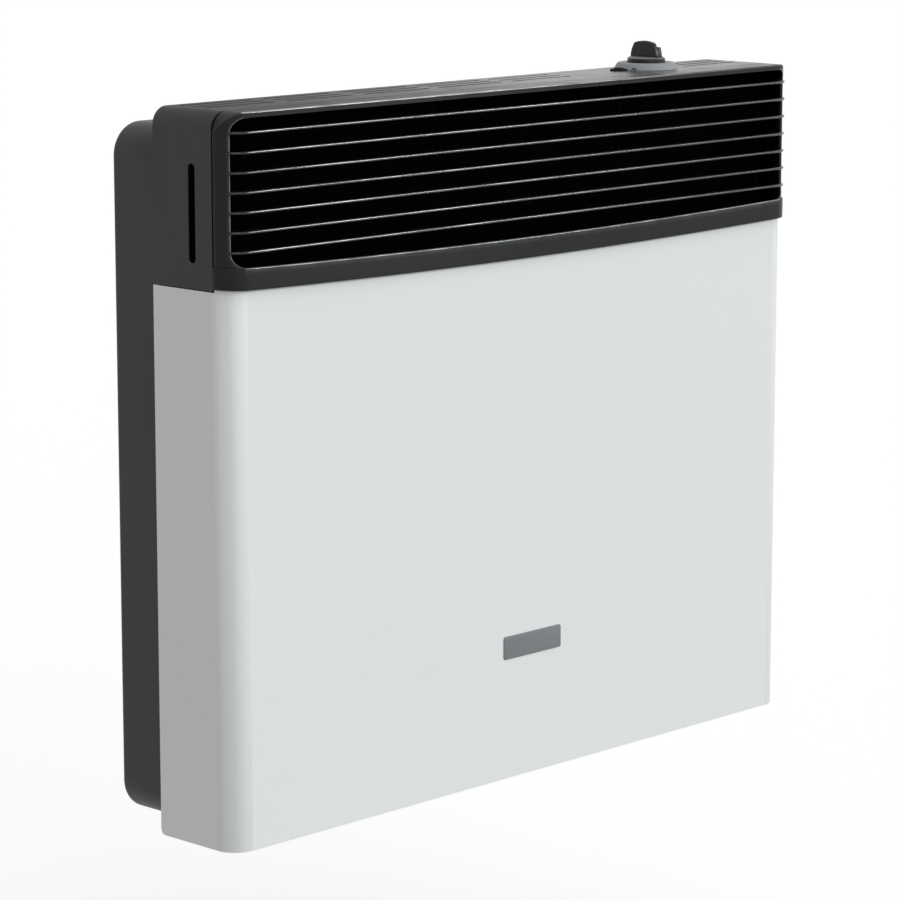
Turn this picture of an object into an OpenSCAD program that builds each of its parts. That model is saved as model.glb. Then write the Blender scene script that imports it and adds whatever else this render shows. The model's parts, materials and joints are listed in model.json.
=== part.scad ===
// Wall mounted balanced-flue gas heater.
// Cabinet frame used by every module: x = 0 on the centre line and grows to the viewer's right,
// y = 0 is the white front panel and grows towards the wall, z = 0 is the cabinet's lower edge.
// at_wall() moves that frame so that the origin is the middle of the wall bracket's screw pattern.

/* [Cabinet] */
// Overall width of the white cover and the black hood
total_w = 720; // [600:1:900]
// Height from the cover's lower edge to the hood's top
total_h = 620; // [580:1:720]
// Depth from the wall to the white front panel
total_d = 166; // [160:1:200]
// Thickness of the cabinet's sheet steel
sheet = 1.0; // [0.8:0.1:1.5]
// Radius of the vertical front corners of the white cover
cover_corner_r = 20.5; // [16:0.5:26]
// Depth of the white cover's sides
cover_d = 92.3; // [90:0.1:98]
// Height of the black hood over the white cover
hood_h = 147.2; // [120:0.1:180]
// Width of the flanges folded inwards along the cabinet's edges
fold_w = 12; // [8:1:16]

/* [Hood] */
// Depth of the hood behind the front panel
hood_d = 90.5; // [86:0.5:94]
// Radius of the hood's top side edges
hood_r = 15; // [8:1:20]
// Depth of the grille frame, up to the groove in front of the hood
frame_d = 17.6; // [16:0.1:24]
// Width of the shadow groove between the frame and the hood
groove = 2; // [0.5:0.1:2.5]
// Width of the warm-air slots in the hood's top
slot_w = 5; // [3:0.5:7]
// Length of the warm-air slots
slot_l = 80; // [50:1:84]
// Distance from one slot to the next along the width
slot_pitch = 92; // [88:1:110]
// Distance from one row of slots to the next
slot_row = 14; // [10:1:16]
// Height of the long slot in each side of the hood
side_slot_h = 82; // [60:1:90]
// Width of the long slot in each side
side_slot_w = 8.4; // [5:0.2:12]

/* [Grille] */
// How far the frame stands out in front of the white panel
frame_proud = 3; // [2:0.2:3.6]
// How far the frame's lower band stands out in front of the white panel
band_proud = 5; // [4:0.2:6]
// Sag of the lower band's arched edges at the centre line
band_sag = 5.2; // [2:0.2:8]
// Height of the lower band
band_h = 18.5; // [14:0.5:20]
// Number of louvre blades
blade_count = 7; // [5:1:7]
// Distance from the opening's top down to the first blade
blade_drop = 11.7; // [8:0.1:16]
// Distance from the lower band up to the last blade
blade_rise = 12.1; // [8:0.1:16]
// Thickness of a blade
blade_t = 2.4; // [1.6:0.2:3.2]
// Depth of a blade from front to back
blade_d = 7; // [5:0.5:9]

/* [Heat exchanger casing] */
// Distance from the cabinet's side to the casing's side
casing_inset = 20; // [17:1:40]
// Distance from the hood's top down to the casing's top
casing_drop = 19.4; // [16:0.2:30]
// Radius of the casing's four corners, seen from the front
casing_r = 28; // [20:1:36]
// Radius of the casing's rear edges
casing_edge_r = 5; // [3:0.5:8]
// Depth of the casing from the wall to its front flange
casing_d = 80; // [76:1:90]
// Thickness of the enamelled casing steel
casing_t = 1.2; // [1:0.1:2]
// Depth of the pressed recess for the wall bracket
recess_d = 14; // [12.5:0.5:18]

/* [Flue] */
// Outer radius of the fresh-air spigot
air_r = 65; // [55:1:75]
// Outer radius of the exhaust spigot
exhaust_r = 40; // [30:1:50]
// How far the fresh-air spigot reaches into the wall
air_reach = 30; // [20:1:60]
// How far the exhaust spigot reaches into the wall
exhaust_reach = 40; // [30:1:80]
// Distance from the hood's top down to the flue axis
flue_drop = 320; // [260:1:390]

/* [Wall bracket] */
// Width between the wall screws
screw_w = 400; // [300:1:420]
// Height between the wall screws
screw_h = 40; // [30:1:46]
// Radius of the wall screw holes
wall_hole_r = 3.5; // [2.5:0.1:4]
// Distance from the hood's top down to the middle of the screw pattern
mount_drop = 95; // [90:1:120]

/* [Controls] */
// Distance of the gas knob's axis from the hood's right side
knob_inset = 137.4; // [120:0.1:160]
// Distance of the knob's axis in front of the heat exchanger
knob_stand = 23.3; // [22:0.1:27]
// Radius of the knob's skirt
knob_r = 17.5; // [15:0.1:20]
// Height of the knob's grip over its skirt
grip_h = 14.5; // [10:0.1:20]
// Height of the raised ring round the knob
bezel_h = 5.8; // [5:0.1:9]
// How far the knob can be pushed in
knob_travel = 3.5; // [2:0.5:4]
// Radius of the control rod
rod_r = 3; // [2.5:0.1:4]
// Distance of the igniter's axis from the knob's axis
igniter_offset = 38.6; // [38:0.1:46]
// Radius of the igniter's button
button_r = 5; // [4:0.1:5.5]
// How far the igniter's button can be pushed in
button_travel = 4; // [2:0.5:5]

/* [Badge] */
// Width of the bare badge plate
badge_w = 75; // [50:1:100]
// Height of the bare badge plate
badge_h = 21; // [12:1:30]
// Distance of the badge's middle from the centre line
badge_x = 5; // [-20:1:20]
// Height of the badge's lower edge
badge_z = 110; // [60:1:300]

/* [Gas train] */
// Outer radius of the gas inlet's thread
inlet_r = 10.5; // [8:0.1:13.5]
// Length of the gas inlet's thread
inlet_l = 22; // [15:1:26]
// Radius of the burner tube
burner_r = 18; // [14:1:20]
// Distance of the burner's axis behind the heat exchanger's front sheet
burner_set = 34; // [24:1:44]
// Height of the burner's axis over the cover's lower edge
burner_z = 75; // [66:1:90]

/* [Hidden] */
$fn = 96;
shallow_arc_fn = 7200;
eps = 0.01;
far = total_w;

// cabinet
half_w = total_w / 2;
split_h = total_h - hood_h;
mount_h = total_h - mount_drop;
flue_h = total_h - flue_drop;
tongue_rise = 7.2;
tongue_h = split_h + tongue_rise;
joint_gap = 1.0;
cover_top = split_h - joint_gap / 2;
hood_bottom = cover_top + joint_gap;
hood_front = frame_d + groove;
lip_gap = 1;
rear_corner_r = 5;
seat_r = 4.5;
screw_r = 2;
screw_clear = 0.15;
screw_head_r = 3.8;
screw_head_h = 2.2;
screw_reach = 7;
seam_screw_back = 16;

// grille
frame_side = 0.8;
band_side = 2;
frame_wall = 3;
frame_top_t = 2.5;
frame_side_t = 2.5;
cover_clear = 0.3;
opening_x = half_w - 5.3;
opening_r = 12;
opening_top = total_h - 5;
band_bottom = split_h + 2.4;
lip_h = band_bottom + band_h;
first_blade = opening_top - blade_drop;
blade_pitch = (first_blade - lip_h - blade_rise) / (blade_count - 1);
blade_front = 4.6;
blade_side = 2.2;
blade_outer_r = 21.6;
blade_sweep = 68;
notch_gap = 0.2;
notch_back = 11.8;
notch_w = 22;
notch_x = half_w + 0.5;
tongue_t = 2.5;
tongue_overlap = 4;
tongue_inset = 30;
tongue_margin = 6;
stay_w = 3;
stay_t = 3;
stay_x = total_w / 6;

// casing
casing_w = total_w - 2 * casing_inset;
casing_bottom = 2;
casing_top = total_h - casing_drop;
casing_h = casing_top - casing_bottom;
flange_y = total_d - casing_d;
flange_w = 12;
gasket_t = 2;
lid_back = flange_y - gasket_t;
lid_face = lid_back - casing_t;
knob_x = half_w - knob_inset;
knob_y = lid_face - knob_stand;
controls_d = knob_y - hood_front;
tongue_reach = 0.3 * controls_d;
seam_screw_front = 0.35 * controls_d;
field_x0 = -casing_w / 2 + 40;
field_x1 = knob_x - 72.6;
field_z0 = 150;
field_z1 = casing_top - 30.6;
field_d = 20.8;
field_r = 24;
field_edge_r = 6;
rib_r = 8;
rib_count = 6;
rib_end = 40;
casing_screw_x = casing_w * 6 / 17;
casing_screw_z = 140;
recess_w = 490;
recess_below = 57;
recess_above = 65;
recess_z0 = mount_h - recess_below;
recess_z1 = mount_h + recess_above;
recess_floor = total_d - recess_d;

// wall bracket
rail_w = screw_w + 60;
rail_h = 70;
rail_t = 2;
hook_reach = 7;
hook_h = 12;
hook_clear = 1;
hanger_t = 1.5;
hanger_h = 13;
rail_top = mount_h + rail_h / 2;

// flue
flue_t = 1.2;
duct_w = 100;
duct_d = 45;
duct_back = recess_floor - casing_t;
duct_below = 60;
duct_z0 = flue_h - duct_below;
duct_z1 = casing_top - 40.6;

// burner
plate_t = 1.5;
plate_x0 = -casing_w / 2 + 68;
plate_x1 = knob_x - 26.6;
plate_z0 = burner_z - 55;
plate_z1 = burner_z + 55;
plate_edge = 12;
plate_r = 4;
plate_gap_t = 1.5;
plate_back = lid_face - plate_gap_t;
plate_face = plate_back - plate_t;
burner_y = lid_back + burner_set;
burner_x0 = plate_x0 + 22;
burner_wall = 1;
burner_cone = 20;
burner_mouth = 12;
burner_throat_r = 11;
burner_mouth_r = 14;
port_l = 12;
port_w = 1.5;
port_pitch = 20;
port_count = 18;
port_side = 4;
support_t = 1.5;
support_h = 44;
support_foot = 14;
support_drop = 26;
elbow_x = knob_x - igniter_offset;
elbow_r = 7;
elbow_inset = 12;
elbow_block = 16;
jet_l = 12;
jet_r = 3;
burner_l = elbow_x - elbow_inset - 2 - burner_x0;
pilot_x = knob_x - 162.6;
pilot_step = 20;
pilot_z = burner_z - 27;
pilot_set = 12;
pilot_foot = 16;
pilot_t = 1.5;
pilot_w = 60;
pilot_h = 24;
pilot_d = 22;
stem_r = 3;
stem_hole_r = 3.2;
stem_out = 6;
stem_nut_r = 4.5;
stem_nut_h = 3;
stem_bend = 5;
glass_x = knob_x - 112.6;
glass_z = burner_z + 29;
glass_r = 13;
glass_t = 2;
glass_lap = 3;
ring_w = 4;
ring_t = 3.2;

// valve
valve_w = 44;
valve_d = 32;
valve_z0 = burner_z + 10;
valve_z1 = valve_z0 + 60;
valve_x0 = knob_x - valve_w / 2;
valve_face = knob_y - valve_d / 2;
boss_r = 12.5;
boss_h = 9;
side_port_z = valve_z0 + 20;
front_port_r = 11;
front_port_h = 12;
side_port_r = 9;
side_port_h = 8;
outlet_boss_r = 7.5;
outlet_boss_h = 5;
plug_r = 8;
plug_clear = 0.05;
plug_cap_r = 10;
plug_cap_h = 3;
plug_top = valve_z1 + boss_h + plug_cap_h;
plug_bottom = valve_z0 + 27;
rod_bottom = plug_bottom + 14;
rod_clear = 0.05;
rod_rest = 0.5;
rod_end = 6.5;
flat_depth = 0.8;
outlet_z = valve_z0 + 37;
pilot_port_z = valve_z0 + 15;
port_offset = 8;
pilot_port_y = knob_y - port_offset;
probe_port_y = knob_y + port_offset;
valve_screw_drop = 5;
strap_w = 32;
strap_t = 1.5;
strap_foot = 10;
pipe_r = 4;
pipe_clear = 0.05;
pipe_bend = 12;
inlet_bore_r = 7;
inlet_hex_h = 8;
inlet_hex_r = inlet_r + 2.5;
thin_pipe_r = 2;
thin_pipe_bend = 5;
thin_pipe_run = 7;
lead_r = 1.25;
lead_bend = 3;
lead_run = 6;
lead_drop = 10;
cable_r = 2.2;
cable_bend = 9;
cable_turn_z = burner_z + 65;

// knob
bezel_foot_r = knob_r + 12.3;
bezel_top_r = knob_r + 9;
bezel_floor = 1.2;
well_gap = 0.7;
well_r = knob_r + well_gap;
skirt_h = 6;
skirt_rest = 0.3;
skirt_wall = 1.8;
skirt_chamfer = 0.8;
skirt_z = total_h + bezel_floor + knob_travel + skirt_rest;
grip_z = skirt_z + skirt_h;
grip_half_base = knob_r - 1.6;
grip_side_r = 31.2;
grip_side_drop = 5.5;
grip_dome_r = 36.4;
grip_t = 5;
grip_shift = 0.5;
grip_step_h = 9;
hub_wall = 2.4;
neck_r = 7;
neck_h = 5;
neck_clear = 0.3;
guide_clear = 0.35;

// igniter
igniter_x = knob_x - igniter_offset;
igniter_rim_r = 8;
igniter_shank_r = 6.5;
igniter_rim_h = 1.5;
igniter_l = 48;
igniter_tail_r = 3.5;
igniter_tail_h = 6;
button_clear = 0.3;
button_h = 14;
button_rise = 1.2;
button_chamfer = 0.8;
nut_r = 10;
nut_h = 4;
nut_clear = 0.05;

// shield, arms, hood support
arm_inset = 60;
arm_w = 20;
arm_t = 1.5;
arm_leg = 17;
arm_screw_y = 8.5;
flat_head_r = 3;
flat_head_h = 1.4;
shield_inset = 60;
shield_gap_top = 32;
shield_y = 14;
shield_t = 0.8;
shield_r = 10;
shield_foot_in = 40;
shield_foot_r = 12;
shield_foot_tip_r = 8;
support_set = 2;
support_inset = 38;
support_lower = 16;
support_upper = 6;
badge_t = 1;
badge_r = 2.5;
slot_side = 20;
slot_front = 9.5;
slot_rows_n = 3;
baffle_gap = 0.5;
baffle_t = 0.8;
baffle_y = hood_front + 0.45 * controls_d;
baffle_rise = 2.5;
baffle_hem = 5;
baffle_back = max(knob_y - 12.5, baffle_y + baffle_t + 0.5);
side_slot_low = 21.7;
side_slot_set = 43.8;

// ---------------------------------------------------------------- helpers

module at_wall() { translate([0, -total_d, -mount_h]) children(); }

// A rectangle centred on x with its lower edge on y = 0 and four round corners
module round_rect(w, h, r) {
    translate([-w / 2 + r, 0]) square([w - 2 * r, h]);
    translate([-w / 2, r]) square([w, h - 2 * r]);
    for (x = [-w / 2 + r, w / 2 - r], y = [r, h - r]) translate([x, y]) circle(r);
}

// Plan of a wrap: front edge at y = -out, both front corners round, sides back to y = d
module wrap(half, out, r, d) {
    intersection() {
        union() {
            translate([-half, r - out]) square([2 * half, far]);
            translate([-half + r, -out]) square([2 * (half - r), far]);
            for (x = [-half + r, half - r]) translate([x, r - out]) circle(r);
        }
        translate([-far, -far]) square([2 * far, far + d]);
    }
}

// Front view of the hood: round top corners, open sides down to z0
module arch(half, z0, z1, r) {
    translate([-half, z0]) square([2 * half, z1 - z0 - r]);
    translate([-half + r, z1 - r - eps]) square([2 * (half - r), r + eps]);
    for (x = [-half + r, half - r]) translate([x, z1 - r]) circle(r);
}

// Extrudes a front view, drawn in x and z, from depth y0 to y1
module from_front(y0, y1) {
    translate([0, y1, 0]) rotate([90, 0, 0]) linear_extrude(y1 - y0) children();
}

// Extrudes a side view, drawn in y and z, from x0 to x1
module from_side(x0, x1) {
    translate([x0, 0, 0]) rotate([90, 0, 90]) linear_extrude(x1 - x0) children();
}

function sag_radius(half, sag) = (half * half + sag * sag) / (2 * sag);

// Everything above a shallow arc that passes z at x = +-half and sags below it in the middle
module above_arc(half, z, sag) {
    r = sag_radius(half, sag);
    intersection() {
        translate([0, z - sag + r]) circle(r, $fn = shallow_arc_fn);
        translate([-far, z - sag - 1]) square([2 * far, far]);
    }
}

// Closed pan with round corners and a round rear edge: the floor lies on depth y, the pan grows
// towards the front, and its lower edge is at z
module pan(w, h, d, rc, re, y, z) {
    translate([0, y, z]) rotate([90, 0, 0]) {
        for (x = [-w / 2 + rc, w / 2 - rc], v = [rc, h - rc])
            translate([x, v, 0]) rotate_extrude() {
                translate([0, re]) square([rc, d - re]);
                square([rc - re, d]);
                translate([rc - re, re]) intersection() { circle(re); square([re, 2 * re], center = true); }
                translate([rc - re, re]) rotate(-90) intersection() { circle(re); square(re); }
            }
        translate([-w / 2 + rc, 0, re]) cube([w - 2 * rc, h, d - re]);
        translate([-w / 2 + rc, re, 0]) cube([w - 2 * rc, h - 2 * re, d]);
        for (v = [re, h - re])
            translate([-w / 2 + rc, v, re]) rotate([0, 90, 0]) cylinder(r = re, h = w - 2 * rc);
        translate([-w / 2, rc, re]) cube([w, h - 2 * rc, d - re]);
        translate([-w / 2 + re, rc, 0]) cube([w - 2 * re, h - 2 * rc, d]);
        for (x = [-w / 2 + re, w / 2 - re])
            translate([x, rc, re]) rotate([-90, 0, 0]) cylinder(r = re, h = h - 2 * rc);
    }
}

function unit(v) = v / norm(v);

// Round bar or pipe through a list of points with bends of radius bend
module bent_bar(points, r, bend) {
    last = len(points) - 1;
    function dir(i) = unit(points[i + 1] - points[i]);
    function turn(i) = acos(dir(i - 1) * dir(i));
    function cut(i) = (i == 0 || i == last) ? 0 : bend * tan(turn(i) / 2);
    for (i = [0 : last - 1]) {
        length = norm(points[i + 1] - points[i]) - cut(i) - cut(i + 1);
        start = points[i] + cut(i) * dir(i);
        d = dir(i);
        translate(start) rotate([0, acos(d[2]), atan2(d[1], d[0])]) cylinder(r = r, h = length);
    }
    for (i = [1 : last - 1]) {
        a = dir(i - 1);
        m = unit(dir(i) - a * (a * dir(i)));
        n = cross(a, m);
        c = points[i] - a * cut(i) + m * bend;
        multmatrix([[-m[0], a[0], n[0], c[0]], [-m[1], a[1], n[1], c[1]],
                [-m[2], a[2], n[2], c[2]], [0, 0, 0, 1]])
            rotate_extrude(angle = turn(i)) translate([bend, 0]) circle(r);
    }
}

module slot(x0, x1, y, w) {
    translate([x0 + w / 2, y - w / 2]) square([x1 - x0 - w, w]);
    for (x = [x0 + w / 2, x1 - w / 2]) translate([x, y]) circle(w / 2);
}

// ---------------------------------------------------------------- wall side

module rail_holes() {
    for (x = [-screw_w / 2, screw_w / 2], z = [-screw_h / 2, screw_h / 2])
        translate([x, total_d + eps, mount_h + z]) rotate([90, 0, 0])
            cylinder(r = wall_hole_r, h = rail_t + 2 * eps);
}

module wall_bracket() color("silver") at_wall() difference() {
    from_side(-rail_w / 2, rail_w / 2) {
        translate([total_d - rail_t, rail_top - rail_h]) square([rail_t, rail_h]);
        translate([total_d - rail_t - hook_reach, rail_top - rail_t]) square([hook_reach + eps, rail_t]);
        translate([total_d - rail_t - hook_reach, rail_top - rail_t]) square([rail_t, hook_h + rail_t]);
    }
    rail_holes();
}

module hanger_rail() color("dimgray") at_wall() {
    tip = total_d - hook_reach + hook_clear;
    from_side(-rail_w / 2, rail_w / 2) {
        translate([recess_floor, rail_top + hook_clear]) square([hanger_t, hook_h + hanger_h]);
        translate([recess_floor, rail_top + hook_h]) square([tip + hanger_t - recess_floor, hanger_t]);
        translate([tip, rail_top + hook_clear]) square([hanger_t, hook_h]);
    }
}

module recess(grow) {
    r = casing_edge_r;
    from_front(recess_floor - grow, total_d + 1) translate([0, recess_z0 - grow])
        round_rect(recess_w + 2 * grow, recess_z1 - recess_z0 + 2 * grow, r + grow);
}

module rear_casing() color("dimgray") at_wall() {
    t = casing_t;
    difference() {
        pan(casing_w, casing_h, casing_d, casing_r, casing_edge_r, total_d, casing_bottom);
        difference() {
            pan(casing_w - 2 * t, casing_h - 2 * t, casing_d - 2 * t, casing_r - t, casing_edge_r - t,
                total_d - t, casing_bottom + t);
            recess(t);
        }
        recess(0);
        from_front(flange_y - 1, flange_y + t + 1) translate([0, casing_bottom + flange_w])
            round_rect(casing_w - 2 * flange_w, casing_h - 2 * flange_w, casing_r - flange_w);
        translate([0, total_d + 1, flue_h]) rotate([90, 0, 0]) cylinder(r = air_r - flue_t, h = 3 * t);
        casing_screw_holes(flange_y - 1, flange_y + t + 1);
    }
}

function casing_screw_points() = [
    for (k = [-1, -1 / 3, 1 / 3, 1], z = [casing_bottom + flange_w / 2, casing_top - flange_w / 2])
        [k * casing_screw_x, z],
    for (side = [-1, 1], k = [-1 : 1])
        [side * (casing_w - flange_w) / 2, casing_bottom + casing_h / 2 + k * casing_screw_z]];

module casing_screw_holes(y0, y1) {
    for (p = casing_screw_points())
        translate([p[0], y1, p[1]]) rotate([90, 0, 0]) cylinder(r = screw_r + screw_clear, h = y1 - y0);
}

module casing_gasket() color("gainsboro") at_wall() difference() {
    from_front(lid_back, flange_y) difference() {
        translate([0, casing_bottom]) round_rect(casing_w, casing_h, casing_r);
        translate([0, casing_bottom + flange_w])
            round_rect(casing_w - 2 * flange_w, casing_h - 2 * flange_w, casing_r - flange_w);
    }
    casing_screw_holes(lid_back - 1, flange_y + 1);
}

module field(grow, d) {
    w = field_x1 - field_x0 + 2 * grow;
    h = field_z1 - field_z0 + 2 * grow;
    translate([(field_x0 + field_x1) / 2, 0, 0]) mirror([0, 1, 0])
        pan(w, h, d, field_r + grow, field_edge_r + grow, -(lid_back - field_d - grow), field_z0 - grow);
}

module ribs(r) {
    step = (field_x1 - field_x0) / rib_count;
    for (i = [0 : rib_count - 1])
        translate([field_x0 + step * (i + 0.5), lid_back - field_d, field_z0 + rib_end]) {
            cylinder(r = r, h = field_z1 - field_z0 - 2 * rib_end);
            for (z = [0, field_z1 - field_z0 - 2 * rib_end])
                translate([0, 0, z]) rotate([90, 0, 0]) sphere(r);
        }
}

module casing_front() color("dimgray") at_wall() {
    t = casing_t;
    difference() {
        union() {
            from_front(lid_face, lid_back) translate([0, casing_bottom])
                round_rect(casing_w, casing_h, casing_r);
            field(t, field_d + t - eps);
            ribs(rib_r + t);
        }
        field(0, field_d + 2);
        ribs(rib_r);
        from_front(lid_face - 1, lid_back + 1)
            translate([(plate_x0 + plate_x1) / 2, plate_z0 + plate_edge])
                round_rect(plate_x1 - plate_x0 - 2 * plate_edge, plate_z1 - plate_z0 - 2 * plate_edge,
                    plate_r);
        casing_screw_holes(lid_face - 1, lid_back + 1);
        valve_screw_holes(lid_face - 1, lid_back + 1);
        plate_holes(lid_face - 1, lid_back + 1);
    }
}

module casing_screws() color("silver") at_wall() {
    for (p = casing_screw_points()) translate([p[0], 0, p[1]]) {
        translate([0, lid_face + 2 * screw_reach, 0]) rotate([90, 0, 0])
            cylinder(r = screw_r, h = 2 * screw_reach);
        translate([0, lid_face, 0]) rotate([90, 0, 0]) cylinder(r = screw_head_r, h = screw_head_h);
    }
}

// ---------------------------------------------------------------- flue

module air_spigot() color("lightgray") at_wall()
    translate([0, total_d, flue_h]) rotate([-90, 0, 0]) difference() {
        cylinder(r = air_r, h = air_reach);
        translate([0, 0, -1]) cylinder(r = air_r - flue_t, h = air_reach + 2);
    }

module exhaust_spigot() color("lightgray") at_wall()
    translate([0, duct_back, flue_h]) rotate([-90, 0, 0]) difference() {
        cylinder(r = exhaust_r, h = total_d + exhaust_reach - duct_back);
        translate([0, 0, -1]) cylinder(r = exhaust_r - flue_t, h = far);
    }

module exhaust_duct() color("lightgray") at_wall() difference() {
    t = casing_t;
    translate([-duct_w / 2, duct_back - duct_d, duct_z0]) cube([duct_w, duct_d, duct_z1 - duct_z0]);
    translate([-duct_w / 2 + t, duct_back - duct_d + t, duct_z0 + t])
        cube([duct_w - 2 * t, duct_d - 2 * t, duct_z1]);
    translate([0, duct_back + 1, flue_h]) rotate([90, 0, 0]) cylinder(r = exhaust_r - flue_t, h = 3);
}

// ---------------------------------------------------------------- burner

function plate_screw_points() = [
    for (x = [0 : 4], z = [plate_z0 + plate_edge / 2, plate_z1 - plate_edge / 2])
        [plate_x0 + plate_edge / 2 + x * (plate_x1 - plate_x0 - plate_edge) / 4, z]];

module plate_holes(y0, y1) {
    for (p = plate_screw_points())
        translate([p[0], y1, p[1]]) rotate([90, 0, 0]) cylinder(r = screw_r + screw_clear, h = y1 - y0);
}

module plate_outline(grow) {
    translate([(plate_x0 + plate_x1) / 2, plate_z0 - grow])
        round_rect(plate_x1 - plate_x0 + 2 * grow, plate_z1 - plate_z0 + 2 * grow, plate_r);
}

module burner_gasket() color("gainsboro") at_wall() difference() {
    from_front(plate_back, lid_face) difference() {
        plate_outline(0);
        plate_outline(-plate_edge);
    }
    plate_holes(plate_back - 1, lid_face + 1);
}

module through_plate(x, z, r) {
    translate([x, plate_back + 1, z]) rotate([90, 0, 0]) cylinder(r = r, h = plate_t + 2);
}

module burner_plate() color("silver") at_wall() difference() {
    from_front(plate_face, plate_back) plate_outline(0);
    plate_holes(plate_face - 1, plate_back + 1);
    through_plate(elbow_x - elbow_inset, burner_z, elbow_r + pipe_clear);
    through_plate(glass_x, glass_z, glass_r - glass_lap);
    for (i = [-1 : 1]) through_plate(pilot_x + i * pilot_step, pilot_z, stem_hole_r);
}

module plate_screws() color("silver") at_wall() {
    for (p = plate_screw_points()) translate([p[0], 0, p[1]]) {
        translate([0, lid_back, 0]) rotate([90, 0, 0]) cylinder(r = screw_r, h = lid_back - plate_face);
        translate([0, plate_face, 0]) rotate([90, 0, 0]) cylinder(r = screw_head_r, h = screw_head_h);
    }
    for (p = valve_screw_points()) translate([p[0], 0, p[1]]) {
        translate([0, lid_back + 2, 0]) rotate([90, 0, 0])
            cylinder(r = screw_r, h = lid_back + 2 - plate_back);
        translate([0, plate_back, 0]) rotate([90, 0, 0]) cylinder(r = screw_head_r, h = screw_head_h);
    }
}

// Straight tube, then a throat that opens into the mouth where the gas jet draws air in
module burner_shape(r, wall, l) {
    cylinder(r = r, h = l);
    translate([0, 0, l]) cylinder(r1 = r, r2 = burner_throat_r - wall, h = burner_cone);
    translate([0, 0, l + burner_cone])
        cylinder(r1 = burner_throat_r - wall, r2 = burner_mouth_r - wall, h = burner_mouth + eps * wall);
}

module burner_tube() color("silver") at_wall() difference() {
    straight = burner_l - 2 * burner_cone;
    translate([burner_x0, burner_y, burner_z]) rotate([0, 90, 0]) burner_shape(burner_r, 0, straight);
    translate([burner_x0 + burner_wall, burner_y, burner_z]) rotate([0, 90, 0])
        burner_shape(burner_r - burner_wall, burner_wall, straight - burner_wall);
    // the bore runs on through the mouth
    translate([burner_x0 + straight + burner_cone + burner_mouth - burner_wall, burner_y, burner_z])
        rotate([0, 90, 0]) cylinder(r = burner_mouth_r - 2 * burner_wall, h = 2 * burner_wall);
    for (i = [0 : port_count - 1], y = [-port_side, port_side])
        translate([burner_x0 + port_pitch * (i + 1), burner_y + y - port_w / 2, burner_z])
            cube([port_l, port_w, burner_r + 1]);
}

module burner_supports() color("silver") at_wall() {
    for (x = [burner_x0 + support_foot / 2, burner_x0 + burner_l - 3 * burner_cone]) difference() {
        translate([x, plate_back, burner_z - support_drop]) {
            cube([support_t, burner_y - plate_back + 2 * burner_mouth, support_h]);
            cube([support_foot, support_t, support_h]);
        }
        translate([x - 1, burner_y, burner_z]) rotate([0, 90, 0])
            cylinder(r = burner_r + pipe_clear, h = 2 * support_t + 1);
    }
}

// Passes through the burner plate and turns so that its jet points into the burner's mouth
module injector_elbow() color("goldenrod") at_wall() {
    x = elbow_x - elbow_inset;
    y0 = knob_y - elbow_block / 2;
    translate([x, burner_y, burner_z]) rotate([90, 0, 0]) cylinder(r = elbow_r, h = burner_y - plate_face);
    translate([x - elbow_block / 2, y0, burner_z - elbow_block / 2])
        cube([elbow_block, plate_face - y0, elbow_block]);
    translate([x, burner_y, burner_z]) rotate([0, -90, 0]) cylinder(r = jet_r + 1, h = jet_l - 2.5);
    translate([x, burner_y, burner_z]) rotate([0, -90, 0]) cylinder(r1 = jet_r, r2 = jet_r / 2, h = jet_l);
}

module sight_glass() color("lightblue") at_wall()
    translate([glass_x, plate_face, glass_z]) rotate([90, 0, 0]) cylinder(r = glass_r, h = glass_t);

module sight_ring() color("silver") at_wall()
    translate([glass_x, plate_face, glass_z]) rotate([90, 0, 0]) difference() {
        cylinder(r = glass_r + ring_w, h = ring_t);
        translate([0, 0, -1]) cylinder(r = glass_r + cover_clear, h = glass_t + 1);
        cylinder(r = glass_r - glass_lap, h = 2 * ring_t);
    }

module pilot_bracket() color("silver") at_wall() difference() {
    translate([pilot_x - pilot_w / 2, plate_back, pilot_z - pilot_foot]) {
        cube([pilot_w, pilot_t, pilot_h]);
        cube([pilot_w, pilot_d, pilot_t]);
    }
    for (i = [-1 : 1]) translate([pilot_x + i * pilot_step, plate_back - 1, pilot_z])
        rotate([-90, 0, 0]) cylinder(r = stem_hole_r, h = pilot_t + 2);
}

// A stem through the burner plate that turns up towards the flame ports
module pilot_stem(x, height) {
    bent_bar([[x, plate_face - stem_out, pilot_z], [x, plate_back + pilot_set, pilot_z],
        [x, plate_back + pilot_set, pilot_z + height]], stem_r, stem_bend);
    translate([x, plate_face, pilot_z]) rotate([90, 0, 0]) cylinder(r = stem_nut_r, h = stem_nut_h);
}

pilot_rise = 26;
pilot_head_r = 4.5;
pilot_head_h = 10;
probe_rise = 38;
spark_rise = 24;
spark_wire_r = 0.9;
spark_wire_h = 8;

module pilot_burner() color("goldenrod") at_wall() {
    pilot_stem(pilot_x, pilot_rise);
    translate([pilot_x, plate_back + pilot_set, pilot_z + pilot_rise])
        cylinder(r = pilot_head_r, h = pilot_head_h);
}

module thermocouple() color("peru") at_wall() pilot_stem(pilot_x - pilot_step, probe_rise);

module spark_electrode() color("white") at_wall() {
    x = pilot_x + pilot_step;
    pilot_stem(x, spark_rise);
    translate([x, plate_back + pilot_set, pilot_z + spark_rise])
        cylinder(r = spark_wire_r, h = spark_wire_h);
}

// ---------------------------------------------------------------- gas control

function valve_screw_points() = [for (z = [valve_z0 - valve_screw_drop, valve_z1 + valve_screw_drop])
    [knob_x, z]];

module valve_screw_holes(y0, y1) {
    for (p = valve_screw_points())
        translate([p[0], y1, p[1]]) rotate([90, 0, 0]) cylinder(r = screw_r + screw_clear, h = y1 - y0);
}

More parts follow.
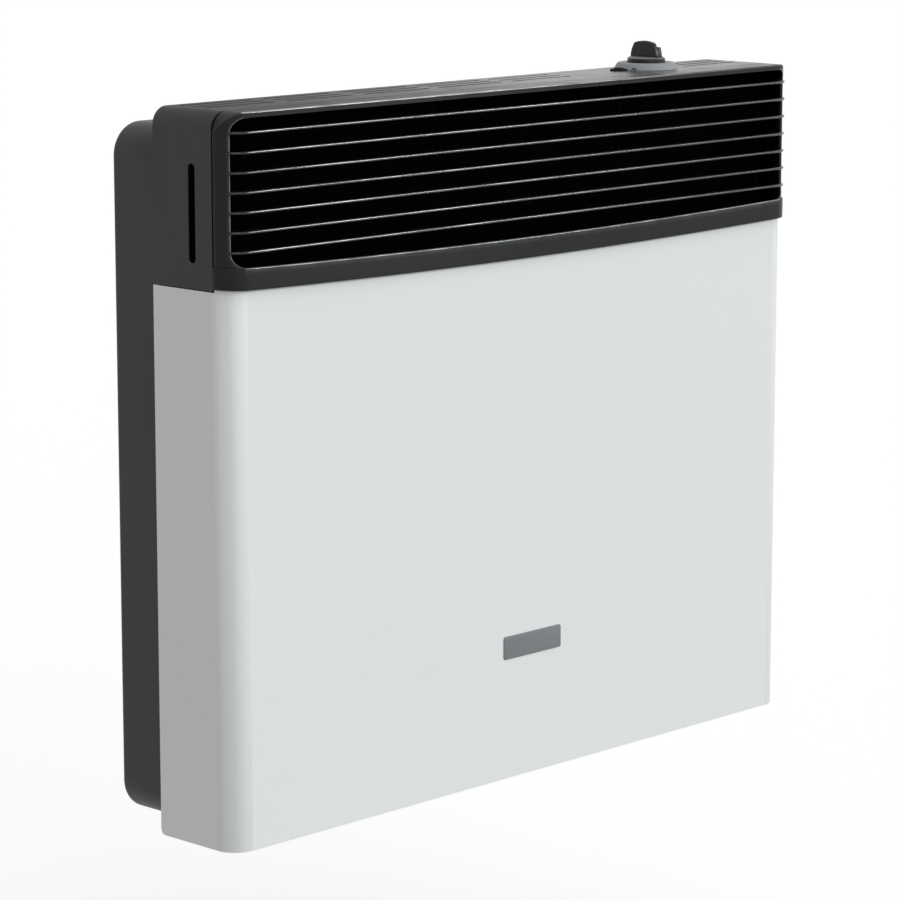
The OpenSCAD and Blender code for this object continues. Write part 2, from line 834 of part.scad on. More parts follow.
module valve_bracket() color("silver") at_wall() difference() {
    y = knob_y + valve_d / 2;
    t = strap_t;
    from_side(knob_x - strap_w / 2, knob_x + strap_w / 2) {
        translate([y, valve_z0]) square([t, valve_z1 - valve_z0]);
        for (z = [valve_z0, valve_z1 - t]) translate([y, z]) square([lid_face - y, t]);
        for (z = [valve_z0 - strap_foot, valve_z1 - t])
            translate([lid_face - t, z]) square([t, strap_foot + t]);
    }
    valve_screw_holes(lid_face - 2 * t, lid_face + 1);
}

// Round bar with one flat
module rod_socket(r, h) {
    intersection() {
        cylinder(r = r, h = h);
        translate([-2 * r, -r + flat_depth, -1]) cube([4 * r, 2 * r, h + 2]);
    }
}

module valve_body() color("goldenrod") at_wall() difference() {
    union() {
        translate([valve_x0, valve_face, valve_z0]) cube([valve_w, valve_d, valve_z1 - valve_z0]);
        translate([knob_x, knob_y, valve_z1]) cylinder(r = boss_r, h = boss_h);
        translate([knob_x, valve_face, side_port_z]) rotate([90, 0, 0])
            cylinder(r = front_port_r, h = front_port_h);
        translate([valve_x0 + valve_w, knob_y, side_port_z]) rotate([0, 90, 0])
            cylinder(r = side_port_r, h = side_port_h);
        translate([valve_x0 - outlet_boss_h, knob_y, outlet_z]) rotate([0, 90, 0])
            cylinder(r = outlet_boss_r, h = outlet_boss_h + 1);
    }
    translate([knob_x, knob_y, plug_bottom]) cylinder(r = plug_r + plug_clear, h = far);
    translate([valve_x0 - 2 * outlet_boss_h, knob_y, outlet_z]) rotate([0, 90, 0])
        cylinder(r = pipe_r + pipe_clear, h = 3 * outlet_boss_h);
    translate([knob_x, knob_y, valve_z0 - 1]) cylinder(r = inlet_bore_r - 1, h = plug_bottom - valve_z0 - 1);
}

module valve_plug() color("khaki") at_wall() translate([knob_x, knob_y, 0]) difference() {
    union() {
        translate([0, 0, plug_bottom]) cylinder(r = plug_r, h = plug_top - plug_bottom);
        translate([0, 0, plug_top - plug_cap_h]) cylinder(r = plug_cap_r, h = plug_cap_h);
    }
    translate([0, 0, rod_bottom - knob_travel - rod_rest]) rod_socket(rod_r + rod_clear, far);
}

module control_rod() color("silver") at_wall() translate([knob_x, knob_y, rod_bottom]) {
    rod_socket(rod_r, grip_z + grip_h - rod_end - rod_bottom);
}

module knob_bezel() color("dimgray") at_wall() translate([knob_x, knob_y, total_h]) difference() {
    union() {
        cylinder(r1 = bezel_foot_r, r2 = bezel_top_r, h = bezel_h);
        translate([0, 0, -sheet - neck_h]) cylinder(r = neck_r, h = sheet + neck_h + eps);
    }
    translate([0, 0, bezel_floor]) cylinder(r = well_r, h = bezel_h);
    translate([0, 0, -sheet - neck_h - 1]) cylinder(r = rod_r + guide_clear, h = neck_h + bezel_h + 2);
}

// Bowed sides and a low dome on top
module grip_side() {
    side = grip_half_base - sqrt(grip_side_r * grip_side_r - grip_side_drop * grip_side_drop);
    intersection() {
        translate([-knob_r, grip_z - 1]) square([2 * knob_r, 2 * grip_h]);
        translate([0, grip_z + grip_h - grip_dome_r]) circle(grip_dome_r);
        translate([side, grip_z - grip_side_drop]) circle(grip_side_r);
        translate([-side, grip_z - grip_side_drop]) circle(grip_side_r);
    }
}

module knob() color("dimgray") at_wall() translate([knob_x, knob_y, 0]) difference() {
    union() {
        translate([0, 0, skirt_z]) cylinder(r = knob_r, h = skirt_h - skirt_chamfer);
        translate([0, 0, grip_z - skirt_chamfer - eps])
            cylinder(r1 = knob_r, r2 = knob_r - skirt_chamfer, h = skirt_chamfer + eps);
        from_side(grip_shift - grip_t, grip_shift) grip_side();
        intersection() {
            from_side(0, grip_t - grip_shift) grip_side();
            translate([-1, -far / 2, grip_z - 1]) cube([2 * grip_t, far, grip_step_h + 1]);
        }
    }
    translate([0, 0, skirt_z - 1]) difference() {
        cylinder(r = knob_r - skirt_wall, h = skirt_h - 1);
        cylinder(r = rod_r + hub_wall, h = far);
    }
    translate([0, 0, skirt_z - 1]) rod_socket(rod_r, grip_z + grip_h - rod_end - skirt_z + 1);
}

module inlet_fitting() color("goldenrod") at_wall() translate([knob_x, knob_y, valve_z0]) mirror([0, 0, 1])
    difference() {
        union() {
            cylinder(r = inlet_hex_r, h = inlet_hex_h, $fn = 6);
            translate([0, 0, inlet_hex_h]) cylinder(r = inlet_r, h = inlet_l);
        }
        translate([0, 0, -1]) cylinder(r = inlet_bore_r, h = inlet_l + inlet_hex_h + 2);
    }

module main_gas_pipe() color("silver") at_wall() {
    x = elbow_x - elbow_inset;
    bent_bar([[valve_x0, knob_y, outlet_z], [x, knob_y, outlet_z],
        [x, knob_y, burner_z + elbow_block / 2]], pipe_r, pipe_bend);
}

module pilot_pipe() color("silver") at_wall() {
    x = valve_x0 - thin_pipe_run;
    y = plate_face - stem_out;
    bent_bar([[valve_x0, pilot_port_y, pilot_port_z], [x, pilot_port_y, pilot_port_z],
        [x, pilot_port_y, pilot_z], [pilot_x, pilot_port_y, pilot_z], [pilot_x, y, pilot_z]],
        thin_pipe_r, thin_pipe_bend);
}

module thermocouple_lead() color("peru") at_wall() {
    x = valve_x0 - lead_run;
    z = pilot_z - lead_drop;
    px = pilot_x - pilot_step;
    bent_bar([[valve_x0, probe_port_y, pilot_port_z], [x, probe_port_y, pilot_port_z],
        [x, probe_port_y, z], [px, probe_port_y, z], [px, probe_port_y, pilot_z],
        [px, plate_face - stem_out, pilot_z]], lead_r, lead_bend);
}

// ---------------------------------------------------------------- igniter

module igniter_body() color("black") at_wall() translate([igniter_x, knob_y, total_h]) difference() {
    union() {
        cylinder(r = igniter_rim_r, h = igniter_rim_h);
        translate([0, 0, -igniter_l]) cylinder(r = igniter_shank_r, h = igniter_l + eps);
        translate([0, 0, -igniter_l - igniter_tail_h])
            cylinder(r = igniter_tail_r, h = igniter_tail_h + eps);
    }
    translate([0, 0, button_rise - button_h - button_travel])
        cylinder(r = button_r + button_clear, h = 2 * button_h + button_travel);
}

module igniter_button() color("black") at_wall() translate([igniter_x, knob_y, total_h]) {
    top = igniter_rim_h + button_rise;
    translate([0, 0, top - button_h]) cylinder(r = button_r, h = button_h - button_chamfer);
    translate([0, 0, top - button_chamfer - eps])
        cylinder(r1 = button_r, r2 = button_r - button_chamfer, h = button_chamfer + eps);
}

module igniter_nut() color("silver") at_wall()
    translate([igniter_x, knob_y, total_h - sheet - nut_h]) difference() {
        cylinder(r = nut_r, h = nut_h, $fn = 6);
        translate([0, 0, -1]) cylinder(r = igniter_shank_r + nut_clear, h = nut_h + 2);
    }

module ignition_lead() color("black") at_wall() {
    z0 = total_h - igniter_l - igniter_tail_h;
    x = pilot_x + pilot_step;
    bent_bar([[igniter_x, knob_y, z0], [igniter_x, knob_y, cable_turn_z], [x, knob_y, cable_turn_z],
        [x, knob_y, pilot_z], [x, plate_face - stem_out, pilot_z]], cable_r, cable_bend);
}

// ---------------------------------------------------------------- cabinet

// Bridges the casing's top and the hood's top, and closes the gap between them
module hood_support() color("silver") at_wall() {
    y = flange_y + support_set;
    w = casing_w - 2 * support_inset;
    t = casing_t;
    from_side(-w / 2, w / 2) {
        translate([y, casing_top]) square([t, total_h - sheet - casing_top]);
        translate([y, casing_top]) square([support_lower, t]);
        translate([y - support_upper, total_h - sheet - t]) square([support_upper + t, t]);
    }
}

function arm_x() = casing_w / 2 - arm_inset;

module lower_arms() color("silver") at_wall() difference() {
    for (x = [-arm_x(), arm_x()]) {
        translate([x - arm_w / 2, sheet, sheet]) cube([arm_w, lid_face - sheet, arm_t]);
        translate([x - arm_w / 2, lid_face - arm_t, sheet]) cube([arm_w, arm_t, arm_leg]);
    }
    for (x = [-arm_x(), arm_x()])
        translate([x, arm_screw_y, 0]) cylinder(r = screw_r + screw_clear, h = 3 * arm_t);
}

module cover_screws() color("silver") at_wall() {
    for (x = [-arm_x(), arm_x()]) translate([x, arm_screw_y, 0]) {
        translate([0, 0, -flat_head_h]) cylinder(r = flat_head_r, h = flat_head_h);
        translate([0, 0, -eps]) cylinder(r = screw_r, h = screw_reach - 1);
    }
}

module cover_plan(inset, d) { wrap(half_w - inset, -inset, cover_corner_r - inset, d); }

module front_cover() color("whitesmoke") at_wall() difference() {
    union() {
        linear_extrude(cover_top) cover_plan(0, cover_d);
        linear_extrude(tongue_h) cover_plan(0, frame_d);
    }
    translate([0, 0, sheet]) linear_extrude(cover_top - 2 * sheet) cover_plan(sheet, cover_d - sheet);
    translate([0, 0, sheet]) linear_extrude(tongue_h - 2 * sheet) cover_plan(sheet, frame_d - sheet);
    translate([-half_w + fold_w, fold_w, -1]) cube([total_w - 2 * fold_w, cover_d, total_h]);
    cover_rear_corners();
    for (x = [-arm_x(), arm_x()])
        translate([x, arm_screw_y, -1]) cylinder(r = screw_r + screw_clear, h = 2 * sheet + 1);
    hood_screw_holes(cover_top - 3 * sheet, cover_top + 1);
}

// Rounds the sides' lower rear corners
module cover_rear_corners() {
    r = rear_corner_r;
    from_side(-half_w - 1, half_w + 1) difference() {
        translate([cover_d - r, -1]) square([r + 1, r + 1]);
        translate([cover_d - r, r]) circle(r);
    }
}

function hood_screw_points() =
    [for (x = [-1, 1], y = [hood_front + seam_screw_front, cover_d - seam_screw_back])
        [x * (half_w - sheet - seat_r - 1), y]];

module hood_screw_holes(z0, z1) {
    for (p = hood_screw_points())
        translate([p[0], p[1], z0]) cylinder(r = screw_r + screw_clear, h = z1 - z0);
}

module hood_screws() color("silver") at_wall() {
    for (p = hood_screw_points()) translate([p[0], p[1], cover_top - sheet]) {
        translate([0, 0, -screw_head_h]) cylinder(r = screw_head_r, h = screw_head_h);
        translate([0, 0, -eps]) cylinder(r = screw_r, h = screw_reach + 1);
    }
}

// Pressed feet hold the shield off the cover's inner face
module heat_shield() color("silver") at_wall() {
    y = shield_y;
    z1 = split_h - shield_gap_top;
    from_front(y, y + shield_t) translate([0, shield_inset])
        round_rect(total_w - 2 * shield_inset, z1 - shield_inset, shield_r);
    for (x = [-1, 1], z = [shield_inset + shield_foot_in, z1 - shield_foot_in])
        translate([x * (half_w - shield_inset - shield_foot_in), y + eps, z]) rotate([90, 0, 0])
            cylinder(r1 = shield_foot_r, r2 = shield_foot_tip_r, h = y - sheet + eps);
}

module badge_plate() color("gray") at_wall()
    from_front(-badge_t, 0) translate([badge_x, badge_z]) round_rect(badge_w, badge_h, badge_r);

module top_slots() {
    x0 = -half_w + slot_side;
    last = igniter_x - 2 * igniter_rim_r;
    for (row = [0 : slot_rows_n - 1]) {
        y = knob_y - slot_front + row * slot_row;
        for (x = [x0 : slot_pitch : last - slot_l]) slot(x, x + slot_l, y, slot_w);
        slot(knob_x + bezel_foot_r + slot_side / 2, half_w - slot_side, y, slot_w);
    }
}

module top_hood() color("black") at_wall() difference() {
    union() {
        difference() {
            from_front(hood_front, hood_d) arch(half_w, hood_bottom, total_h, hood_r);
            from_front(hood_front - 1, hood_d - sheet)
                arch(half_w - sheet, hood_bottom + sheet, total_h - sheet, hood_r - sheet);
            from_front(hood_d - 2 * sheet, hood_d + 1)
                arch(half_w - casing_inset + lip_gap, hood_bottom + sheet,
                    casing_top + casing_t + lip_gap, casing_r + lip_gap);
            translate([-half_w + fold_w, hood_front - 1, hood_bottom - 1])
                cube([total_w - 2 * fold_w, hood_d, 3 * sheet]);
        }
        for (p = hood_screw_points())
            translate([p[0], p[1], hood_bottom - joint_gap]) cylinder(r = seat_r, h = joint_gap + eps);
    }
    translate([0, 0, total_h - 2 * sheet]) linear_extrude(4 * sheet) top_slots();
    from_side(-half_w - 1, half_w + 1) rotate(90)
        slot(split_h + side_slot_low, split_h + side_slot_low + side_slot_h, -side_slot_set, side_slot_w);
    translate([knob_x, knob_y, total_h - 2 * sheet]) cylinder(r = neck_r + neck_clear, h = 4 * sheet);
    translate([igniter_x, knob_y, total_h - 2 * sheet])
        cylinder(r = igniter_shank_r + neck_clear, h = 4 * sheet);
    hood_screw_holes(hood_bottom - 2 * joint_gap, hood_bottom + 3 * sheet);
}

// Black sheet behind the louvres that turns the rising air forward through them
module air_baffle() color("black") at_wall() intersection() {
    half = half_w - sheet - baffle_gap;
    top = total_h - sheet;
    low = hood_bottom + sheet + baffle_rise;
    from_side(-half, half) polygon([[baffle_y, top], [baffle_y, low], [baffle_y + baffle_hem, low],
        [baffle_y + baffle_hem, low + baffle_t], [baffle_y + baffle_t, low + baffle_t],
        [baffle_y + baffle_t, top - baffle_t], [baffle_back, top - baffle_t], [baffle_back, top]]);
    from_front(0, hood_d) arch(half, hood_bottom, top, hood_r - sheet);
}

// ---------------------------------------------------------------- grille

// Height of the band's upper edge at a distance x from the centre line
function lip_z(x) = let(r = sag_radius(half_w + band_side, band_sag))
    lip_h - band_sag + r - sqrt(r * r - x * x);

module opening() {
    flat = opening_x - opening_r;
    translate([0, lip_z(flat)]) round_rect(2 * opening_x, opening_top - lip_z(flat), opening_r);
    intersection() {
        above_arc(half_w + band_side, lip_h, band_sag);
        translate([-flat, 0]) square([2 * flat, lip_h + opening_r]);
    }
}

// Front view of the lower band between its two arched edges
module band_outline() {
    half = half_w + band_side;
    difference() {
        above_arc(half, band_bottom, band_sag);
        above_arc(half, lip_h, band_sag);
    }
}

function blade_z(i) = first_blade - i * blade_pitch;

module grille_frame() color("black") at_wall() {
    outer = half_w + frame_side;
    difference() {
        union() {
            intersection() {
                linear_extrude(total_h + 1) wrap(outer, frame_proud, cover_corner_r, frame_d);
                from_front(-far, far) intersection() {
                    arch(outer, 0, total_h, hood_r + frame_side);
                    above_arc(half_w + band_side, band_bottom, band_sag);
                }
            }
            intersection() {
                linear_extrude(total_h)
                    wrap(half_w + band_side, band_proud, cover_corner_r + band_side, frame_d);
                from_front(-far, far) band_outline();
            }
        }
        // room for the top of the white cover behind the lower band
        linear_extrude(tongue_h + 2 * cover_clear) wrap(half_w + cover_clear, 0, cover_corner_r, far);
        intersection() {
            linear_extrude(total_h) wrap(outer - frame_side_t, 0, cover_corner_r - frame_wall, far);
            from_front(-far, far)
                arch(outer - frame_side_t, 0, total_h - frame_top_t, hood_r + frame_side - frame_side_t);
        }
        from_front(-far, frame_wall) opening();
        for (i = [0 : blade_count - 1], x = [-1, 1])
            translate([x * notch_x - notch_w / 2, -notch_w / 2, blade_z(i) - blade_t / 2 - notch_gap])
                cube([notch_w, notch_w / 2 + notch_back, blade_t + 2 * notch_gap]);
    }
    // tongues that slide inside the hood
    y = frame_d - tongue_overlap;
    d = tongue_overlap + groove + tongue_reach;
    z = tongue_h + tongue_margin;
    for (x = [-half_w + sheet, half_w - sheet - tongue_t])
        translate([x, y, z]) cube([tongue_t, d, total_h - hood_r - tongue_margin - z]);
    translate([-half_w + tongue_inset, y, total_h - sheet - tongue_t])
        cube([total_w - 2 * tongue_inset, d, tongue_t]);
}

// Cross-section of a blade: x grows outwards, the outer edge is at x = out
module blade_profile(out) {
    translate([out - blade_t / 2, 0]) circle(blade_t / 2);
    translate([out - blade_d, -blade_t / 2]) square([blade_d - blade_t / 2, blade_t]);
}

module grille_blades() color("dimgray") at_wall() {
    x = half_w + blade_side - blade_outer_r;
    y = blade_outer_r - blade_front;
    for (i = [0 : blade_count - 1]) translate([0, 0, blade_z(i)]) {
        translate([-x, y, 0]) rotate([0, 90, 0]) linear_extrude(2 * x) rotate(-90)
            blade_profile(blade_outer_r);
        for (m = [0, 1]) mirror([m, 0, 0]) translate([x, y, 0]) rotate([0, 0, -90])
            rotate_extrude(angle = blade_sweep) blade_profile(blade_outer_r);
    }
}

module blade_stays() color("black") at_wall() {
    y = blade_d - blade_front;
    for (x = [-stay_x, stay_x])
        translate([x - stay_w / 2, y, tongue_h]) cube([stay_w, stay_t, total_h - frame_top_t - tongue_h]);
}

wall_bracket();
hanger_rail();
rear_casing();
casing_gasket();
casing_front();
air_spigot();
exhaust_spigot();
exhaust_duct();
burner_gasket();
burner_plate();
burner_tube();
burner_supports();
injector_elbow();
pilot_bracket();
pilot_burner();
thermocouple();
spark_electrode();
sight_glass();
sight_ring();
plate_screws();
casing_screws();
valve_bracket();
valve_body();
valve_plug();
control_rod();
knob();
knob_bezel();
inlet_fitting();
main_gas_pipe();
pilot_pipe();
thermocouple_lead();
igniter_body();
igniter_nut();
igniter_button();
ignition_lead();
hood_support();
lower_arms();
front_cover();
heat_shield();
badge_plate();
top_hood();
hood_screws();
cover_screws();
air_baffle();
grille_frame();
grille_blades();
blade_stays();
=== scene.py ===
# %% [markdown]
# # A wall mounted gas heater, dressed for one photograph
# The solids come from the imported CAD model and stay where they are. This lesson gives each of them
# its real finish, and makes again in mesh code the pieces whose soft edges the CAD leaves sharp:
# the louvres, their frame, the knob, its ring, the igniter and the badge. Everything is in metres,
# in the frame of the CAD model, whose origin lies on the wall between the bracket's four screws.

import json
import math

import bmesh
import bpy
import numpy as np
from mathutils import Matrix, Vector


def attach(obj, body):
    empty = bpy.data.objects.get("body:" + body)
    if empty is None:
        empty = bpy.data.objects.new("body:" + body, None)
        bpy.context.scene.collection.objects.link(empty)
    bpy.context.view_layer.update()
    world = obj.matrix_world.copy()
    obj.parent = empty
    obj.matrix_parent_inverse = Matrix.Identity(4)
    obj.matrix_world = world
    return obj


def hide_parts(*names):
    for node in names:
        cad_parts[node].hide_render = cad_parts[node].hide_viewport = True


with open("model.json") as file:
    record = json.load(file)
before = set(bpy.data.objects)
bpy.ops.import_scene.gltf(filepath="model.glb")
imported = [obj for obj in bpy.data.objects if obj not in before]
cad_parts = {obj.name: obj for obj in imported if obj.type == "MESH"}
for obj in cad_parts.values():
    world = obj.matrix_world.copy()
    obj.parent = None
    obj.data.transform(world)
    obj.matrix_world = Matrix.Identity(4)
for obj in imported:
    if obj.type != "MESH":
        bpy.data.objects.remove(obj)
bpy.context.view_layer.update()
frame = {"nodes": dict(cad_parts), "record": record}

# %% [markdown]
# The heater was drawn from the front panel's plane and the cover's lower edge, in millimetres,
# because those are the lines that a photograph shows. One helper brings such points to the frame,
# so that every piece below can be written in the numbers that a ruler would give.

# %% Millimetres of the cabinet to metres of the frame
CABINET_DEPTH = 166.0
MOUNT_HEIGHT = 525.0


def place(points):
    """(x, y, z) in millimetres from the panel's foot, as metres in the frame: (p - o) / 1000."""
    return (np.asarray(points, float) - (0.0, CABINET_DEPTH, MOUNT_HEIGHT)) / 1000.0


print("the panel's foot lies at", place([0, 0, 0]))

# %% [markdown]
# The camera stands left of the heater and a little above it, far away, with a long lens: the
# edges of the cabinet hardly run together in the photograph. It could be moved by eye until it
# looks right. Here its direction, distance and lens were solved from the corners of the cabinet,
# which leaves nothing to guess.

# %% The camera
AZIMUTH, ELEVATION = math.radians(-46.05), math.radians(10.49)
DISTANCE = 3.168
TARGET = Vector((-0.1014, -0.166, -0.2147))
SENSOR_WIDTH, LENS = 36.0, 145.7
VIEW_END = 200.0

back = Vector((
    math.sin(AZIMUTH) * math.cos(ELEVATION),
    -math.cos(AZIMUTH) * math.cos(ELEVATION),
    math.sin(ELEVATION),
))
camera = bpy.data.objects.new("camera", bpy.data.cameras.new("camera"))
camera.data.sensor_width = SENSOR_WIDTH
camera.data.lens = LENS
camera.data.clip_end = VIEW_END
camera.location = TARGET + back * DISTANCE
camera.rotation_euler = back.to_track_quat("Z", "Y").to_euler()
bpy.context.scene.collection.objects.link(camera)
bpy.context.scene.camera = camera
bpy.context.scene.view_settings.view_transform = "Standard"
print("camera at", [round(v, 3) for v in camera.location])

# %% [markdown]
# A finish is a small program of shader nodes. It could be wired by hand in the node editor, which
# nobody can read back later. Here it is written as sums instead: a `Value` is a socket that takes
# part in them, and each operator adds the Math node that works it out.

# %% A socket that takes part in sums
class Value:
    """An output socket. Its operators add Math nodes, so 1 - mask * 0.2 can be written as it is."""

    def __init__(self, shader, socket):
        self.shader, self.socket = shader, socket

    def maths(self, operation, a, b):
        return self.shader.node("ShaderNodeMath", {"operation": operation}, {0: a, 1: b})

    def __add__(self, other):
        return self.maths("ADD", self, other)

    def __sub__(self, other):
        return self.maths("SUBTRACT", self, other)

    def __rsub__(self, other):
        return self.maths("SUBTRACT", other, self)

    def __mul__(self, other):
        return self.maths("MULTIPLY", self, other)

    __radd__ = __add__
    __rmul__ = __mul__


print("sockets can take part in sums")

# %% [markdown]
# A `Shader` holds the nodes of one material or of the world and adds any node by its type. Plain
# functions would do, but the class remembers whose nodes they are. Settings go in first, because
# a node's settings decide which sockets it has.

# %% The nodes of a material
class Shader:
    """The nodes of one material or world, its owner. last is the type of its output node."""

    def __init__(self, owner, last="ShaderNodeOutputMaterial"):
        owner.use_nodes = True
        self.owner, self.tree = owner, owner.node_tree
        self.tree.nodes.clear()
        self.last = self.tree.nodes.new(last)

    def node(self, kind, settings=None, sockets=None, output=0):
        """Adds a node: its settings, then the values or links of its sockets, by name or place."""
        node = self.tree.nodes.new(kind)
        for name, value in (settings or {}).items():
            setattr(node, name, value)
        for key, value in (sockets or {}).items():
            if isinstance(value, Value):
                self.tree.links.new(value.socket, node.inputs[key])
            else:
                node.inputs[key].default_value = value
        return Value(self, node.outputs[output])

    def end(self, shaded):
        """Links the last shader to the output and gives back the material or world."""
        self.tree.links.new(shaded.socket, self.last.inputs["Surface"])
        return self.owner


def begin(name):
    """The shader of a new material."""
    return Shader(bpy.data.materials.new(name))


print("shaders are ready")

# %% [markdown]
# Every finish below is made of the same few parts: a drift between two colours, noise that is
# squeezed along an axis, and a band of values cut out of it. The noise runs over Object
# coordinates, because each mesh has its place in its own points and the pattern then stays on the
# piece when a joint moves it. Noise scales are in features to the metre.

# %% Colours and patterns
def grey(value, tint=(1.0, 1.0, 1.0)):
    """A colour of that brightness, with a faint tint."""
    return (value * tint[0], value * tint[1], value * tint[2], 1.0)


def mix(g, a, b, factor):
    """A colour between a and b."""
    return g.node("ShaderNodeMix", {"data_type": "RGBA"}, {0: factor, 6: a, 7: b}, output=2)


def here(g):
    """The point of the piece that is being shaded, in metres of the frame."""
    return g.node("ShaderNodeTexCoord", output="Object")


def across(g):
    """How far to the right that point lies, in metres."""
    return g.node("ShaderNodeSeparateXYZ", None, {0: here(g)})


def painted_glint_mask(g):
    """How much painted highlight of lighter grey lies there, from 0 to 1, as the mesh attribute edge
    says.
    """
    return g.node("ShaderNodeAttribute", {"attribute_name": "edge"}, output="Fac")


def noise(g, scale, stretch=None, detail=2.0, roughness=0.5):
    """Noise over the piece, with scale features to the metre, squeezed along the axes."""
    point = here(g)
    if stretch:
        point = g.node("ShaderNodeVectorMath", {"operation": "MULTIPLY"}, {0: point, 1: stretch})
    return g.node("ShaderNodeTexNoise", None, {
        "Vector": point, "Scale": scale, "Detail": detail, "Roughness": roughness,
    })


def remap(g, value, low, high, to_low=0.0, to_high=1.0):
    """value, from low..high to to_low..to_high, held at the ends."""
    return g.node("ShaderNodeMapRange", {"clamp": True}, {
        "Value": value, "From Min": low, "From Max": high, "To Min": to_low, "To Max": to_high,
    })


print("a middle grey is", grey(0.18))

# %% [markdown]
# All materials end in the same way, in one physically based shader with the bump as its normal.
# Layers of several shaders could be mixed, but real enamel, metal and plastic differ only in a
# few numbers of this one, and an export understands it everywhere.

# %% The end of a finish
def finish(g, base, roughness, metallic=0.0, height=None, depth=0.0001, strength=1.0, **fixed):
    """Ends a material: base colour, roughness, metalness and bump, each a constant or a Value.

    depth is the bump's, in metres. fixed holds other sockets, with _ for the space in their names.
    """
    sockets = {"Base Color": base, "Roughness": roughness, "Metallic": metallic}
    if height is not None:
        sockets["Normal"] = g.node("ShaderNodeBump", None, {
            "Height": height, "Distance": depth, "Strength": strength,
        })
    sockets.update({key.replace("_", " "): value for key, value in fixed.items()})
    return g.end(g.node("ShaderNodeBsdfPrincipled", None, sockets))


print("finish is ready")

# %% [markdown]
# The heater hangs in plain white studio light. The world is white where the camera and the
# reflections look, and dimmer for the light that it sheds, so that the unlit side of the white
# cover turns grey. Area lamps could stand for the softboxes, but their light falls off across the
# panel. Three suns of some width don't: a narrow key from the front right, whose mirror image is
# the fine line on every louvre, a broad one from the front left, which lights the cover's bend,
# and a broad weak one overhead. All stand low or wide enough to throw no shadow down the front.

# %% The studio
FILL, FILL_COLOUR = 0.45, (1.0, 0.995, 0.968, 1.0)
LAMP_COLOUR = (0.965, 1.0, 1.008)
# The direction towards each softbox, its strength and its width in degrees.
SOFTBOXES = {
    "key": ((0.69, -0.67, 0.27), 1.1, 10.0),
    "front": ((-0.3, -0.92, 0.25), 0.78, 40.0),
    "overhead": ((-0.15, -0.45, 0.88), 0.55, 40.0),
}


def seen(g):
    """1 for rays of the camera, of reflections and through glass, 0 for light that is shed."""
    camera_ray, glossy_ray, glass_ray = [
        g.node("ShaderNodeLightPath", output=name)
        for name in ("Is Camera Ray", "Is Glossy Ray", "Is Transmission Ray")
    ]
    return remap(g, camera_ray + glossy_ray + glass_ray, 0.0, 1.0)


world = bpy.data.worlds.new("studio")
bpy.context.scene.world = world
sky = Shader(world, "ShaderNodeOutputWorld")
white = sky.node("ShaderNodeBackground", None, {"Color": grey(1.0), "Strength": 1.0})
shed = sky.node("ShaderNodeBackground", None, {"Color": FILL_COLOUR, "Strength": FILL})
sky.end(sky.node("ShaderNodeMixShader", None, {0: seen(sky), 1: shed, 2: white}))

for name, (direction, strength, spread) in SOFTBOXES.items():
    lamp = bpy.data.objects.new(name, bpy.data.lights.new(name, "SUN"))
    lamp.data.energy = strength
    lamp.data.color = LAMP_COLOUR
    lamp.data.angle = math.radians(spread)
    lamp.rotation_euler = Vector(direction).to_track_quat("Z", "Y").to_euler()
    bpy.context.scene.collection.objects.link(lamp)
print("softboxes:", ", ".join(SOFTBOXES))

# %% [markdown]
# Every mesh of this lesson goes through one helper, from an array of points to an object at the
# origin. Its faces are turned outwards at the end, so that no shape has to be drawn with care for
# the direction of its outline.

# %% Meshes from arrays
def mesh_object(name, vertices, faces, material, smooth=True):
    """A mesh object at the origin from an array of vertices, in metres, and a list of faces."""
    mesh = bpy.data.meshes.new(name)
    mesh.from_pydata(np.asarray(vertices, float).tolist(), [], faces)
    mesh.validate()
    shell = bmesh.new()
    shell.from_mesh(mesh)
    bmesh.ops.recalc_face_normals(shell, faces=shell.faces)
    shell.to_mesh(mesh)
    shell.free()
    if smooth:
        mesh.shade_smooth()
    else:
        mesh.shade_flat()
    mesh.materials.append(material)
    made = bpy.data.objects.new(name, mesh)
    bpy.context.scene.collection.objects.link(made)
    return made


print("mesh_object is ready")

# %% [markdown]
# A heater hangs on a wall, but the photograph shows it cut out on white. A floor lies a good way
# below it and runs to the horizon. Where the camera sees it, it glows a little, so that it reads
# as white paper and still takes the soft shadow. To the light that it throws back up it is a
# duller sheet, because a white one would light the cover from below.

# %% The floor
FLOOR_GAP, FLOOR_HALF = 0.36, 60.0
FLOOR_Z = -MOUNT_HEIGHT / 1000.0 - FLOOR_GAP
PAPER, GLOW, THROWN_BACK = 0.85, 0.36, 0.30


def floor_material():
    """White paper to the camera, a duller sheet to the light it throws back up."""
    g = begin("floor_paper")
    paper = g.node("ShaderNodeBsdfDiffuse", None, {"Color": grey(PAPER)})
    glow = g.node("ShaderNodeEmission", None, {"Color": grey(1.0), "Strength": GLOW})
    bright = g.node("ShaderNodeAddShader", None, {0: paper, 1: glow})
    dull = g.node("ShaderNodeBsdfDiffuse", None, {"Color": grey(THROWN_BACK)})
    return g.end(g.node("ShaderNodeMixShader", None, {0: seen(g), 1: dull, 2: bright}))


corners = [(x * FLOOR_HALF, y * FLOOR_HALF, FLOOR_Z)
           for x, y in ((-1, -1), (1, -1), (1, 1), (-1, 1))]
floor = mesh_object("floor", corners, [(0, 1, 2, 3)], floor_material(), smooth=False)
print("floor", FLOOR_GAP, "m below the cover")

# %% [markdown]
# ## Finishes
# White stoved enamel: powder sprayed on sheet steel and baked. It flows out nearly flat, which
# leaves an orange peel of a few millimetres and a tenth of a hair deep, and a soft gloss that
# varies where hands and cloths have rubbed it. A clear coat over a flat white would give it a hard
# bright line down the bend; the photograph has a broad sheen there, so the roughness does it.

